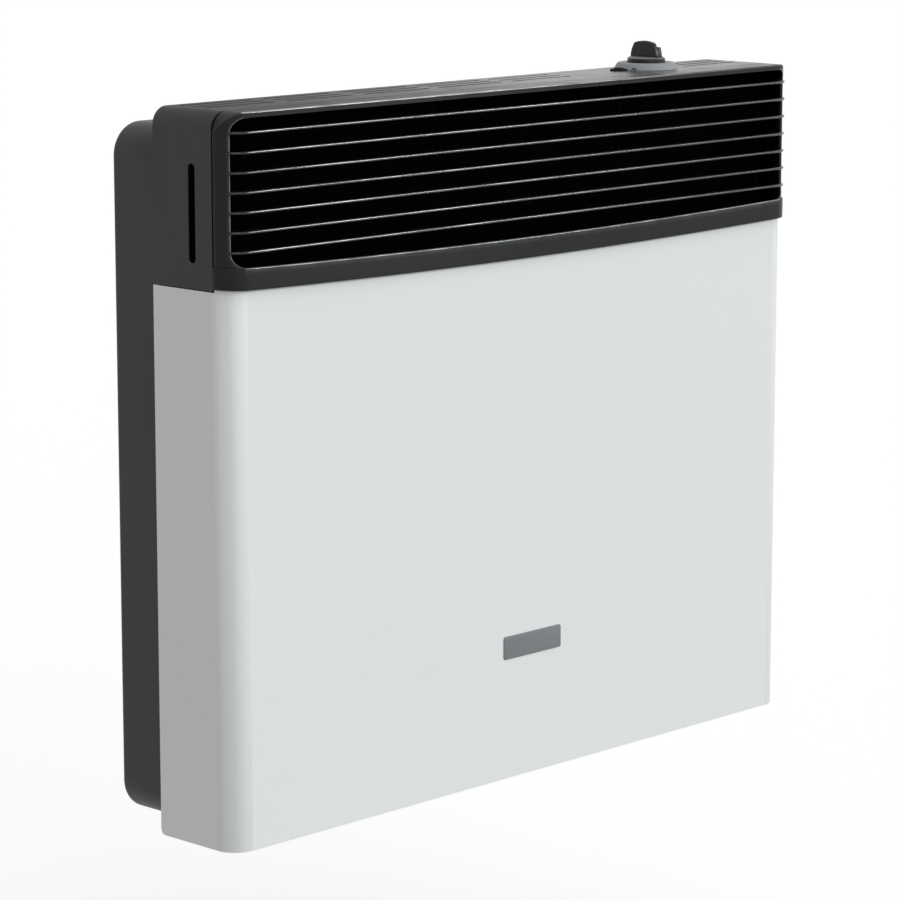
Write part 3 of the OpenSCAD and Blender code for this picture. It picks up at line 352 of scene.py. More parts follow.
# %% White enamel
def white_enamel():
    """Cool white, orange peel in the bump, rub marks in the roughness."""
    g = begin("white_enamel")
    shaded, clean = grey(0.815, (0.985, 1.0, 1.005)), grey(0.84, (0.99, 1.0, 1.01))
    speck = remap(g, noise(g, 2600.0, detail=0.0), 0.70, 0.76)
    base = mix(g, shaded, clean, noise(g, 7.0, detail=3.0))
    base = mix(g, base, grey(0.62, (1.02, 1.0, 0.96)), speck * 0.25)
    rub = noise(g, 22.0, (1.0, 1.0, 0.35), detail=4.0)
    peel = noise(g, 420.0, detail=1.0)
    return finish(g, base, 0.36 + 0.14 * rub, height=peel, depth=0.00006, strength=0.5,
                  Specular_IOR_Level=0.45)


print("white enamel is ready")

# %% [markdown]
# Black stove enamel: the hood, the louvres' frame and the casing get a matt black that stands
# heat. Its surface is finely grained, like very fine sandpaper, and dust settles on it as pale
# specks. One flat black would do for the colour, but the hood shines at its right and is dull at
# its left end, and the frame's rolled edges get a painted highlight of lighter grey. So one
# function takes both as numbers, and the painted highlight follows an attribute that the frame's
# mesh carries.

# %% Black enamel
BLACK_TINT, GLINT_GREY_TINT = (0.98, 1.0, 1.03), (0.98, 1.0, 1.02)
GLINT_TINT = (0.93, 0.955, 1.0)
LEFT_END, DULL_FROM = -0.36, 0.06


def black_enamel(name, dark, light, gloss, grain, shine=0.45, painted_glint_amount=0.0, dull_end=0.0):
    """Matt black with a fine grain.

    dark and light are the greys between which it drifts, gloss its roughness where it is
    smoothest, grain the depth of its bump in metres, and shine its specular level.
    The next argument is how much lighter grey is painted along the rolled edges: a painted
    highlight.
    dull_end is how much rougher it gets from the middle of the heater to its left end.
    """
    g = begin(name)
    base = mix(g, grey(dark, BLACK_TINT), grey(light, BLACK_TINT), noise(g, 9.0, detail=3.0))
    if shine:
        dust = remap(g, noise(g, 3200.0, detail=0.0), 0.72, 0.80)
        base = mix(g, base, grey(0.10), dust * 0.35)
    wear = noise(g, 35.0, (1.0, 1.0, 0.4), detail=4.0)
    rough = gloss + 0.14 * wear
    fine = noise(g, 1700.0, detail=2.0) + noise(g, 420.0, detail=1.0) * 0.5
    coat = 0.0
    # Painted highlight: a lighter grey, with a clear coat, where the mesh attribute marks the rolled
    # edges.
    if painted_glint_amount:
        coat = painted_glint_mask(g) * remap(g, noise(g, 30.0, detail=4.0), 0.35, 0.62, 0.45, 1.0)
        base = mix(g, base, grey(0.34, GLINT_GREY_TINT), coat * painted_glint_amount)
    if dull_end:
        rough = rough + remap(g, across(g), LEFT_END, DULL_FROM, dull_end, 0.0)
    return finish(g, base, rough, height=fine, depth=grain, strength=0.6,
                  Specular_IOR_Level=shine, Specular_Tint=grey(1.0, GLINT_TINT),
                  Coat_Weight=coat, Coat_Roughness=0.14)


print("black enamel is ready")

# %% [markdown]
# The louvres are dipped in a glossier black than the sheet metal. The coat flows unevenly along
# such a thin bar, so the bright line on its nose swells and fades, and it runs thin at the ends.
# A bump could break up the line too, but it would sparkle; a coat that drifts only dims it.

# %% Louvre enamel
COAT_STARTS, COAT_FULL = -0.352, -0.318
COAT_THINS, COAT_THIN, THIN_COAT = 0.05, 0.30, 0.6


def louvre_enamel():
    """Glossy black whose clear coat and smoothness drift along the bar."""
    g = begin("louvre_enamel")
    run = noise(g, 14.0, (1.0, 0.1, 6.0), detail=3.0, roughness=0.6)
    where = across(g)
    full = (remap(g, where, COAT_STARTS, COAT_FULL)
            * remap(g, where, COAT_THINS, COAT_THIN, 1.0, THIN_COAT))
    uneven = remap(g, run, 0.36, 0.64)
    return finish(g, mix(g, grey(0.0055), grey(0.010), run), 0.13 + 0.22 * uneven,
                  Specular_IOR_Level=0.34, Coat_Weight=full * (1.0 - 0.6 * uneven),
                  Coat_Roughness=0.10)


print("louvre enamel is ready")

# %% [markdown]
# Metals. Aluminised and galvanised sheet show flat crystals of different sheen, which a Voronoi
# pattern gives; brass and copper are drawn, so their marks run one way; the badge is brushed.
# Painted pictures could show all three, but a pattern of nodes has no seams and no limit of size.

# %% Metals
BADGE_TINT = (0.97, 1.0, 1.04)


def spangled(name, colour, cells):
    """Coated steel sheet: crystals that differ a little in brightness and in sheen."""
    g = begin(name)
    crystal = g.node("ShaderNodeTexVoronoi", {"feature": "F1"},
                     {"Vector": here(g), "Scale": cells}, output="Color")
    tone = g.node("ShaderNodeSeparateColor", None, {0: crystal})
    base = mix(g, grey(colour * 0.82), grey(colour, (1.0, 1.0, 1.01)), tone)
    smear = noise(g, 60.0, (1.0, 1.0, 0.2), detail=4.0)
    return finish(g, base, 0.30 + 0.12 * tone + 0.10 * smear, metallic=1.0,
                  height=noise(g, 900.0), depth=0.00003, strength=0.4)


def drawn(name, colour, dull):
    """Turned or drawn metal, with fine marks and darker stains."""
    g = begin(name)
    marks = noise(g, 300.0, (0.15, 1.0, 1.0), detail=3.0)
    stain = remap(g, noise(g, 45.0, detail=4.0), 0.35, 0.7)
    base = mix(g, colour, dull, stain * 0.6)
    return finish(g, base, 0.24 + 0.22 * stain, metallic=1.0, height=marks,
                  depth=0.00004, strength=0.4)


def brushed_badge():
    """A satin grey plate: long brush lines across it."""
    g = begin("badge_metal")
    lines = noise(g, 1500.0, (0.02, 1.0, 1.0), detail=2.0)
    base = mix(g, grey(0.150, BADGE_TINT), grey(0.195, BADGE_TINT), lines)
    return finish(g, base, 0.42 + 0.10 * lines, metallic=0.55, height=lines, depth=0.00002,
                  strength=0.4)


print("metals are ready")

# %% [markdown]
# Plastics and lacquer. The knob is moulded in black plastic with the fine even grain of a
# spark-eroded mould, and a painted highlight of lighter grey lies on its edge. The ring round it is
# lacquered pale grey, with a small dark oval at the foot of its slope, in front on the left. The
# oval is part of the ring's colour: it lies round a point, worked out from Object coordinates.

# %% Plastics and lacquer
PLASTIC_TINT = (0.97, 1.0, 1.05)
DARK_OVAL_AT = (0.1948, -0.1157, 0.0964)
# The two axes of the dark oval, and how far it reaches along each, in metres.
DARK_OVAL_AXES = (((0.31, -0.95, 0.0), 0.0030), ((0.45, 0.15, 0.88), 0.0010))


def moulded(name, shade, gloss, grain, shine):
    """Black moulded plastic: an even grain, a shine that fingers have worn unevenly, and a painted
    highlight of lighter grey on its edge.
    """
    g = begin(name)
    worn = noise(g, 90.0, detail=4.0)
    base = mix(g, grey(shade * 0.8), grey(shade * 1.25), noise(g, 700.0))
    # Painted highlight: a lighter grey where the mesh attribute marks the edge.
    base = mix(g, base, grey(0.30, PLASTIC_TINT), painted_glint_mask(g) * (0.5 + 0.5 * worn))
    return finish(g, base, gloss + 0.12 * worn, height=noise(g, 2600.0, detail=1.0),
                  depth=grain, strength=0.5, Specular_IOR_Level=shine)


def satin_ring():
    """Pale grey satin lacquer, turned marks, and a small dark oval on the slope.

    The oval is where the sum of ((p - middle) . axis / reach)^2 over both axes falls below 1.
    """
    g = begin("ring_grey")
    marks = noise(g, 420.0, (1.0, 1.0, 3.0), detail=3.0)
    base = mix(g, grey(0.27, PLASTIC_TINT), grey(0.31, PLASTIC_TINT), marks)
    arm = g.node("ShaderNodeVectorMath", {"operation": "SUBTRACT"}, {0: here(g), 1: DARK_OVAL_AT})
    far = 0.0
    for axis, reach in DARK_OVAL_AXES:
        part = g.node("ShaderNodeVectorMath", {"operation": "DOT_PRODUCT"}, {0: arm, 1: axis},
                      output="Value") * (1 / reach)
        far = part * part + far
    # A small dark oval at the foot of the slope, in the ring's colour.
    base = mix(g, base, grey(0.012), remap(g, far, 1.25, 0.75))
    return finish(g, base, 0.52 + 0.10 * marks, height=marks, depth=0.00003, strength=0.4)


print("plastics and lacquer are ready")

# %% [markdown]
# Fibre, ceramic, glass and cable are hidden behind the cover, but a library part is looked at from
# inside too. The gaskets are pressed from mineral fibre, whose threads cross each other; two
# noises squeezed along two axes give that. The rest is plain: a glaze with firing specks, a
# sooted window, a dusty cable.

# %% Fibre, ceramic, glass and cable
FIBRE_TINT = (1.02, 1.0, 0.95)


def fibre():
    """Pressed mineral fibre: pale, matted threads that cross each other."""
    g = begin("gasket_fibre")
    lengthwise = noise(g, 900.0, (0.12, 1.0, 1.0), detail=3.0)
    upwards = noise(g, 900.0, (1.0, 1.0, 0.12), detail=3.0)
    threads = (lengthwise + upwards) * 0.5
    base = mix(g, grey(0.34, FIBRE_TINT), grey(0.66, FIBRE_TINT), threads)
    return finish(g, base, 0.92, height=threads, depth=0.0004, strength=0.8, Sheen_Weight=0.3)


def ceramic():
    """Glazed white ceramic with faint firing specks."""
    g = begin("ceramic")
    speck = remap(g, noise(g, 1800.0, detail=1.0), 0.62, 0.72)
    base = mix(g, grey(0.72, (1.0, 0.99, 0.95)), grey(0.30, (1.0, 0.9, 0.75)), speck * 0.5)
    return finish(g, base, 0.14 + 0.1 * noise(g, 120.0), height=noise(g, 260.0), depth=0.00003)


def window_glass():
    """The heat-proof glass of the peep hole, faintly sooted."""
    g = begin("glass")
    soot = noise(g, 140.0, detail=4.0)
    base = mix(g, grey(0.85, (0.96, 1.0, 0.98)), grey(0.45, (1.0, 0.95, 0.85)), soot * 0.4)
    return finish(g, base, 0.04 + 0.12 * soot, Transmission_Weight=0.85, IOR=1.47)


def cable_skin():
    """Silicone cable: black, soft and slightly dusty."""
    g = begin("cable")
    dust = remap(g, noise(g, 600.0, detail=3.0), 0.5, 0.8)
    return finish(g, mix(g, grey(0.018), grey(0.06), dust), 0.42 + 0.3 * dust,
                  height=noise(g, 1500.0), depth=0.00003)


print("fibre, ceramic, glass and cable are ready")

# %% [markdown]
# Every CAD node takes the finish of the material slot that the record gives it. A few differ from
# the rest of their slot: the hood and the frame get their own sheen, the frame's edges a painted
# highlight, and what lies behind the louvres gets a black with no shine, darker than paint: a
# painted shade, so that only darkness shows between them.

# %% The CAD nodes' finishes
FINISHES = {
    "white_enamel": white_enamel(),
    "black_enamel": black_enamel("black_enamel", dark=0.0085, light=0.0125, gloss=0.20,
                                 grain=0.00003),
    "hood_enamel": black_enamel("hood_enamel", dark=0.0085, light=0.0125, gloss=0.20,
                                grain=0.00003, shine=0.53, dull_end=0.42),
    # The frame's finish carries a painted highlight of lighter grey on its rolled edges.
    "frame_enamel": black_enamel("frame_enamel", dark=0.0035, light=0.0055, gloss=0.22,
                                 grain=0.00004, shine=0.23, painted_glint_amount=0.5, dull_end=0.32),
    "louvre_enamel": louvre_enamel(),
    # A painted shade: near zero colour and no shine, for what lies inside the heater.
    "inner_black": black_enamel("inner_black", dark=0.0012, light=0.0020, gloss=0.80,
                                grain=0.00008, shine=0.0),
    "casing_enamel": black_enamel("casing_enamel", dark=0.010, light=0.015, gloss=0.40,
                                  grain=0.00006, shine=0.36),
    "plated_steel": spangled("plated_steel", colour=0.52, cells=700.0),
    "aluminised_steel": spangled("aluminised_steel", colour=0.60, cells=230.0),
    "aluminium": spangled("aluminium", colour=0.72, cells=500.0),
    "badge_metal": brushed_badge(),
    "brass": drawn("brass", colour=(0.66, 0.46, 0.17, 1.0), dull=(0.30, 0.20, 0.09, 1.0)),
    "copper_lead": drawn("copper_lead", colour=(0.72, 0.34, 0.20, 1.0),
                         dull=(0.28, 0.14, 0.09, 1.0)),
    "knob_plastic": moulded("knob_plastic", shade=0.009, gloss=0.34, grain=0.00002, shine=0.30),
    "ring_grey": satin_ring(),
    "igniter_plastic": moulded("igniter_plastic", shade=0.006, gloss=0.74, grain=0.00002,
                               shine=0.12),
    "ceramic": ceramic(),
    "gasket_fibre": fibre(),
    "glass": window_glass(),
    "cable": cable_skin(),
}
# The inner black on the stays, the baffle and the screws is painted shade.
REPAINTED = {
    "top_hood": "hood_enamel", "grille_frame": "frame_enamel", "blade_stays": "inner_black",
    "air_baffle": "inner_black", "casing_screws": "inner_black",
}
slot_of = {part["node"]: part["material_slot"] for part in frame["record"]["subparts"]}
for node_name, slot_name in slot_of.items():
    for slot in frame["nodes"][node_name].material_slots:
        slot.material = FINISHES[REPAINTED.get(node_name, slot_name)]
print(len(slot_of), "nodes painted with", len(FINISHES), "finishes")

# %% [markdown]
# Sheet metal has no sharp edges: each bend and each cut edge is rounded by a fraction of a
# millimetre, and that sliver of round is where light gathers. It could be drawn in the CAD, at
# the price of hundreds of faces to a sheet. Here the CAD shapes keep their place; a weld joins
# their facets and a bevel rounds what meets at an angle.

# %% Soft edges on the sheet metal
EDGES = {
    "front_cover": 0.0006, "top_hood": 0.0005, "rear_casing": 0.0005, "casing_front": 0.0005,
    "wall_bracket": 0.0004, "hanger_rail": 0.0004, "lower_arms": 0.0004, "heat_shield": 0.0003,
}
WELD_REACH, SHARP_ANGLE = 0.000001, math.radians(40)

for node_name, width in EDGES.items():
    node = frame["nodes"][node_name]
    weld = node.modifiers.new("weld", "WELD")
    weld.merge_threshold = WELD_REACH
    bevel = node.modifiers.new("bevel", "BEVEL")
    bevel.width = width
    bevel.segments = 3
    bevel.limit_method = "ANGLE"
    bevel.angle_limit = SHARP_ANGLE
print(len(EDGES), "nodes have soft edges")

# %% [markdown]
# ## Pieces made again in mesh code
# Each of them is a surface: a function of two parameters, worked out over whole arrays. It could
# be modelled by hand from a cube, but then no measure could be changed later. `surface` lays quads
# over such a grid of points.

# %% Surfaces from arrays
def surface(name, points, material, round_u=False, round_v=False, caps=False, edge=None):
    """Quads over a grid of points, in cabinet millimetres.

    Point (i, j) is joined to (i + 1, j), (i + 1, j + 1) and (i, j + 1). round_u and round_v join
    the last row or column to the first; caps closes the first and the last row with one face each.
    edge is where a painted highlight of lighter grey goes, from 0 to 1, for each point or for each
    row.
    """
    rows, columns = points.shape[:2]
    i, j = np.meshgrid(np.arange(rows if round_u else rows - 1),
                       np.arange(columns if round_v else columns - 1), indexing="ij")
    quads = np.stack([(a % rows) * columns + b % columns
                      for a, b in ((i, j), (i + 1, j), (i + 1, j + 1), (i, j + 1))], axis=-1)
    faces = quads.reshape(-1, 4).tolist()
    if caps:
        first = list(range(columns))
        faces += [first[::-1], [(rows - 1) * columns + k for k in first]]
    made = mesh_object(name, place(points.reshape(-1, 3)), faces, material)
    if edge is not None:
        thin = made.data.attributes.new("edge", "FLOAT", "POINT")
        values = np.broadcast_to(edge, (rows, columns)).astype(np.float32)
        thin.data.foreach_set("value", values.ravel())
    return made


print("surface is ready")

# %% [markdown]
# Nothing on a heater has a truly sharp corner, and light gathers on what is round. `soften` rounds
# the corners of a drawn line, `rolled` is the quarter circle between two faces, and `lathe` turns
# a line round an upright axis. A bevel afterwards could round them too, but these keep to the
# measures that are given.

# %% Rounded lines
def soften(corners, closed=True, steps=5):
    """A line through corners (x, y, rounding), each one rounded from p - d to p + d.

    The round is the curve (1 - t)^2 a + 2 t (1 - t) p + t^2 b, with a and b on the line's legs.
    It takes up no more than 0.49 of a leg, so that two rounds never meet.
    """
    corners = np.asarray(corners, float)
    corners, rounding = corners[:, :2], corners[:, 2]
    count = len(corners)
    t = np.linspace(0, 1, steps)[:, None]
    line = []
    for k, p in enumerate(corners):
        if rounding[k] <= 0 or (not closed and k in (0, count - 1)):
            line.append(p[None])
            continue
        before, after = corners[k - 1] - p, corners[(k + 1) % count] - p
        far_before, far_after = np.linalg.norm(before), np.linalg.norm(after)
        d = min(rounding[k], 0.49 * far_before, 0.49 * far_after)
        a, b = p + before / far_before * d, p + after / far_after * d
        line.append((1 - t) ** 2 * a + 2 * t * (1 - t) * p + t ** 2 * b)
    return np.concatenate(line)


def rolled(radius, steps):
    """A rolled edge, from the side to the face: pairs of how far in it lies and how far under.

    The pairs are r (1 - cos t) and r (1 - sin t), for t over a quarter of a turn.
    """
    turn = np.linspace(0, np.pi / 2, steps)
    return np.stack([radius * (1 - np.cos(turn)), radius * (1 - np.sin(turn))], axis=1)


def lathe(name, profile, axis, material, closed=False, around=72, edge=None):
    """(r, z) of a profile turned round an upright axis at (x, y): x + r cos a, y + r sin a, z."""
    a = np.linspace(0, 2 * np.pi, around, endpoint=False)
    r, z = profile[:, :1], profile[:, 1:]
    points = np.stack([axis[0] + r * np.cos(a), axis[1] + r * np.sin(a), z + 0 * a], axis=-1)
    return surface(name, points, material, round_u=closed, round_v=True, caps=not closed, edge=edge)


print("soften, rolled and lathe are ready")

# %% [markdown]
# The louvres are seven bars with a round nose that bend round both corners of the cabinet. They
# could be a curve with a bevel, whose profile is one more object to look after. Here one profile
# is carried along a path in plan: an arc, a straight run and an arc. The nose must be truly
# round, because the thin bright line along every louvre is the softbox seen in it.

# %% The louvres
LOUVRES, TOP_LOUVRE, PITCH = 7, 603.3, 16.25
BLADE_R, BLADE_T, BLADE_D = 21.6, 2.4, 7.0
TAIL, TAIL_ROUND, NOSE_STEPS = 0.8, 0.45, 17
BEND_X, BEND_Y, BEND = 340.6, 17.0, math.radians(54)
BEND_STEPS, RUN_STEPS = 18, 61


def louvre_profile():
    """(a, b): a runs outwards from -depth to 0, b is the height; half a circle for the nose."""
    half = BLADE_T / 2
    turn = np.linspace(-np.pi / 2, np.pi / 2, NOSE_STEPS)
    nose = np.stack([half * np.cos(turn) - half, half * np.sin(turn)], axis=1)
    tail = soften([(TAIL - BLADE_D, half, 0.0), (-BLADE_D, half, TAIL_ROUND),
                   (-BLADE_D, -half, TAIL_ROUND), (TAIL - BLADE_D, -half, 0.0)], closed=False)
    return np.concatenate([nose, tail])


def louvre(height):
    """Grid of one louvre: centre + (R + a) (sin t, -cos t) on the bends, straight between them."""
    turn = np.linspace(0, BEND, BEND_STEPS)
    run = np.linspace(-BEND_X, BEND_X, RUN_STEPS)[1:-1]
    centre = np.concatenate([np.full(BEND_STEPS, -BEND_X), run, np.full(BEND_STEPS, BEND_X)])
    angle = np.concatenate([-turn[::-1], 0 * run, turn])
    a, b = louvre_profile().T
    x = centre[:, None] + np.sin(angle)[:, None] * (BLADE_R + a)
    y = BEND_Y - np.cos(angle)[:, None] * (BLADE_R + a)
    return np.stack([x, y, height + b + 0 * x], axis=-1)


for k in range(LOUVRES):
    bar = surface(f"louvre_{k + 1}", louvre(TOP_LOUVRE - PITCH * k), FINISHES["louvre_enamel"],
                  round_v=True, caps=True)
    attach(bar, "cabinet")
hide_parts("grille_blades")

# %% [markdown]
# The grille's frame is one sheet bent round both front corners. It could be cut out of a solid
# and bevelled, but a bevel seldom stays even where cuts meet on a bend. It is drawn unrolled
# instead: s runs along the sheet from the centre line, d into its depth, and `bent` rolls the
# drawing up again. The band below the louvres has long edges that are one shallow arc.

# %% A bent sheet, unrolled
ARCH_RISE, ARCH_HALF = 5.2, 362.0
ARCH_R = (ARCH_HALF ** 2 + ARCH_RISE ** 2) / (2 * ARCH_RISE)


def bent(s, d, half, radius, proud):
    """Plan of a sheet of that half width, whose face stands proud of the front panel.

    Flat, then an arc: x = flat + (r - d) sin t, y = r - proud - (r - d) cos t, t = (s - flat) / r.
    """
    flat = half - radius
    turn = np.clip((np.abs(s) - flat) / radius, 0, np.pi / 2)
    x = np.sign(s) * (np.minimum(np.abs(s), flat) + (radius - d) * np.sin(turn))
    return x, radius - proud - (radius - d) * np.cos(turn)


def unrolled(x, half, radius):
    """The length s at which a bent sheet reaches x: flat + r asin((x - flat) / r)."""
    over = np.clip((np.abs(x) - half + radius) / radius, 0, 1)
    return np.sign(x) * (np.minimum(np.abs(x), half - radius) + radius * np.arcsin(over))


def arched(x):
    """How far the band's arched edges rise at x over their middle: R - sqrt(R^2 - x^2)."""
    return ARCH_R - np.sqrt(ARCH_R ** 2 - x ** 2)


print("the arch rises", ARCH_RISE, "mm on a radius of", round(ARCH_R), "mm")

# %% [markdown]
# The surround is a hoop over the louvres. Its outer line follows the hood, its inner line the
# opening, and both run down into the band. They are drawn with the same number of points, so that
# each point of the outer line has its partner on the inner one and the hoop lies between them.

# %% The frame's outlines
BAND_LOW, BAND_H = 475.2, 18.5
FRAME_HALF, FRAME_TOP, FRAME_CORNER, FRAME_END = 360.8, 620.0, 15.8, 488.0
OPENING_HALF, OPENING_TOP, OPENING_CORNER, OPENING_FOOT = 354.7, 615.0, 12.0, 12.0
RUN_POINTS, CORNER_POINTS, SIDE_POINTS, FOOT_POINTS = 30, 13, 7, 9


def hoop(half, top, radius, low, foot, end):
    """Half an outline from the top's middle down a side, as (x, z).

    A run, a quarter circle, the side down to low, then a foot that turns inwards by foot as it
    falls to end: half - foot (1 - cos t), low + (end - low) sin t.
    """
    corner = np.linspace(np.pi / 2, 0, CORNER_POINTS)[1:]
    toe = np.linspace(0, np.pi / 2, FOOT_POINTS)[1:]
    x = np.concatenate([
        np.linspace(0, half - radius, RUN_POINTS), half - radius + radius * np.cos(corner),
        np.full(SIDE_POINTS - 1, half), half - foot * (1 - np.cos(toe)),
    ])
    z = np.concatenate([
        np.full(RUN_POINTS, top), top - radius + radius * np.sin(corner),
        np.linspace(top - radius, low, SIDE_POINTS)[1:], low + (end - low) * np.sin(toe),
    ])
    return np.stack([x, z], axis=1)


def whole(half_line):
    """Mirrors half an outline: it then runs from the left foot over the top to the right one."""
    return np.concatenate([half_line[:0:-1] * (-1, 1), half_line])


opening_end = BAND_LOW + BAND_H - ARCH_RISE + float(arched(OPENING_HALF - OPENING_FOOT))
side_low = opening_end + OPENING_FOOT
outer_line = whole(hoop(FRAME_HALF, FRAME_TOP, FRAME_CORNER, side_low, 0.0, FRAME_END))
inner_line = whole(hoop(OPENING_HALF, OPENING_TOP, OPENING_CORNER, side_low, OPENING_FOOT,
                        opening_end))
print("outlines of", len(outer_line), "points, down to", round(opening_end, 1), "mm")

# %% [markdown]
# Between those lines the sheet is flat, with a rolled edge on both sides and a rim that goes back
# into the hood. Its section could be drawn once and swept, but the hoop is wider at its sides
# than along the top, so every column is worked out from both lines at once.

# %% The surround's grid
# Half width, bend radius, and how far the face stands proud of the front panel.
SURROUND = (FRAME_HALF, 20.5, 3.0)
SURROUND_T, RIM_T, BACK_Y = 3.0, 2.5, 17.6
ROLL_OUT, ROLL_IN, ROLL_STEPS, FACE_STEPS = 1.2, 0.8, 7, 7


def surround_grid():
    """Each column of the hoop is outer + way * reach, bent at its depth; the rim's back is flat.

    way points from the outer line to the inner one; reach and depth follow the rolled edges.
    """
    out_s, in_s = [np.stack([unrolled(line[:, 0], *SURROUND[:2]), line[:, 1]], axis=1)
                   for line in (outer_line, inner_line)]
    width = np.linalg.norm(in_s - out_s, axis=1, keepdims=True)
    way = (in_s - out_s) / width
    face = width - ROLL_OUT - ROLL_IN
    columns = [(out_s + way * inward, under) for inward, under in rolled(ROLL_OUT, ROLL_STEPS)]
    columns += [(out_s + way * (ROLL_OUT + face * share), 0.0)
                for share in np.linspace(0, 1, FACE_STEPS)[1:-1]]
    columns += [(in_s - way * inward, under)
                for inward, under in rolled(ROLL_IN, ROLL_STEPS)[::-1]]
    columns += [(in_s, SURROUND_T), (out_s + way * RIM_T, SURROUND_T)]
    grid = []
    for line, depth in columns:
        x, y = bent(line[:, 0], depth, *SURROUND)
        grid.append(np.stack([x, y, line[:, 1]], axis=1))
    behind = [column * (1, 0, 1) + (0, BACK_Y, 0) for column in (grid[0], grid[-1])]
    return np.stack([behind[0], *grid, behind[1]], axis=1)


grid = surround_grid()
print("a grid of", grid.shape[0], "by", grid.shape[1], "points")

# %% [markdown]
# Where the edges roll over, a painted highlight of lighter grey draws the fine light lines round
# the opening. The colour could follow the room round the piece, but the painted highlight follows
# the edge, so the mesh carries it as a number for each point: a hump over the rolled edge,
# strongest along the top towards the left and down the opening's sides.

# %% The frame's surround
# Which columns of the grid lie on the rolled edges.
INNER_START = ROLL_STEPS + FACE_STEPS - 1
OUTER_EDGE = slice(1, 1 + ROLL_STEPS)
INNER_EDGE = slice(INNER_START, INNER_START + ROLL_STEPS)
# How much painted highlight the outer edge gets along the top, at these x, and how much elsewhere.
GLINT_AT, GLINT_TOP, GLINT_SIDE = (-345, 0, 250), (1.9, 1.5, 0.3), 0.15
OPENING_GLINT_TOP, OPENING_GLINT_SIDE, GLINT_LEAST = 0.12, 0.9, 0.2

hump = np.sin(np.linspace(0, np.pi, ROLL_STEPS))
along_top = outer_line[:, 1] > FRAME_TOP - 0.1
outer_glint = np.where(along_top, np.interp(outer_line[:, 0], GLINT_AT, GLINT_TOP), GLINT_SIDE)
inner_glint = np.where(along_top, OPENING_GLINT_TOP, OPENING_GLINT_SIDE)
# Painted highlight: the lighter grey that each point of the rolled edges gets.
wear = np.zeros(grid.shape[:2])
wear[:, OUTER_EDGE] = (hump + GLINT_LEAST) * outer_glint[:, None]
wear[:, INNER_EDGE] = (hump + GLINT_LEAST) * inner_glint[:, None]
wear[:, OUTER_EDGE.start] = 0.0
surround = surface("frame_surround", grid, FINISHES["frame_enamel"], round_v=True, caps=True,
                   edge=wear)
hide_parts("grille_frame")
print("surround of", len(surround.data.polygons), "faces")

# %% [markdown]
# The band under the louvres is thicker than the surround. Both its long edges are one shallow arc,
# so its section, with two rounded edges in front, is carried along the bent path and lifted by the
# arch. Its back follows the white cover, which bends a little further out. Only its upper edge gets
# the painted highlight of lighter grey, and only in front.

# %% The frame's band
# Half width, bend radius, and how far the face stands proud of the front panel.
BAND = (ARCH_HALF, 22.5, 5.0)
BAND_ROLL, BAND_BEND_STEPS, BAND_RUN_STEPS, BAND_FACE_STEPS = 1.0, 17, 81, 5
BEHIND_R, BEHIND_Y = 20.9, 20.5
UPPER_START = ROLL_STEPS + BAND_FACE_STEPS - 2
UPPER_EDGE = slice(UPPER_START, UPPER_START + ROLL_STEPS)
BAND_GLINT, GLINT_REACH = 1.2, 345.0


def band_grid(s):
    """Columns of the section at the lengths s: bent(s, depth), BAND_LOW + lift + height.

    The two at the back are flat + R sin t, Y - R cos t, and no further back than the hood.
    """
    flat = BAND[0] - BAND[1]
    lift = arched(bent(s, 0.0, *BAND)[0]) - ARCH_RISE
    roll = rolled(BAND_ROLL, ROLL_STEPS)
    section = [(under, inward) for inward, under in roll]
    section += [(0.0, h)
                for h in np.linspace(BAND_ROLL, BAND_H - BAND_ROLL, BAND_FACE_STEPS)[1:-1]]
    section += [(under, BAND_H - inward) for inward, under in roll[::-1]]
    columns = [(*bent(s, depth, *BAND), height) for depth, height in section]
    turn = np.clip((np.abs(s) - flat) / BAND[1], 0, np.pi / 2)
    x = np.sign(s) * (np.minimum(np.abs(s), flat) + BEHIND_R * np.sin(turn))
    y = np.minimum(BEHIND_Y - BEHIND_R * np.cos(turn), BACK_Y)
    columns += [(x, y, BAND_H), (x, y, 0.0)]
    return np.stack([np.stack([x, y, BAND_LOW + lift + height], axis=1)
                     for x, y, height in columns], axis=1)


flat_s = BAND[0] - BAND[1]
bend_s = flat_s + BAND[1] * np.linspace(0, np.pi / 2, BAND_BEND_STEPS)
run_s = np.linspace(-flat_s, flat_s, BAND_RUN_STEPS)[1:-1]
s = np.concatenate([-bend_s[::-1], run_s, bend_s])
grid = band_grid(s)
# Painted highlight along the band's upper edge, in front only.
wear = np.zeros(grid.shape[:2])
in_front = np.abs(s) < GLINT_REACH
wear[:, UPPER_EDGE] = (BAND_GLINT * hump + GLINT_LEAST) * in_front[:, None]
band = surface("frame_band", grid, FINISHES["frame_enamel"], round_v=True, caps=True, edge=wear)
print("band of", len(band.data.polygons), "faces")

# %% [markdown]
# The collar is the black rim that slides inside the hood, behind the groove between the two. Only
# its front edge can be seen, as darkness, so a plain hoop with a square section is enough. It gets
# the inner black, a painted shade that keeps the groove dark.

# %% The frame's collar
COLLAR_HALF, COLLAR_TOP, COLLAR_CORNER, COLLAR_T = 359.0, 619.0, 14.0, 2.5
COLLAR_LOW, COLLAR_END = 600.0, 486.0
COLLAR_FRONT, COLLAR_BACK = 13.6, 31.5

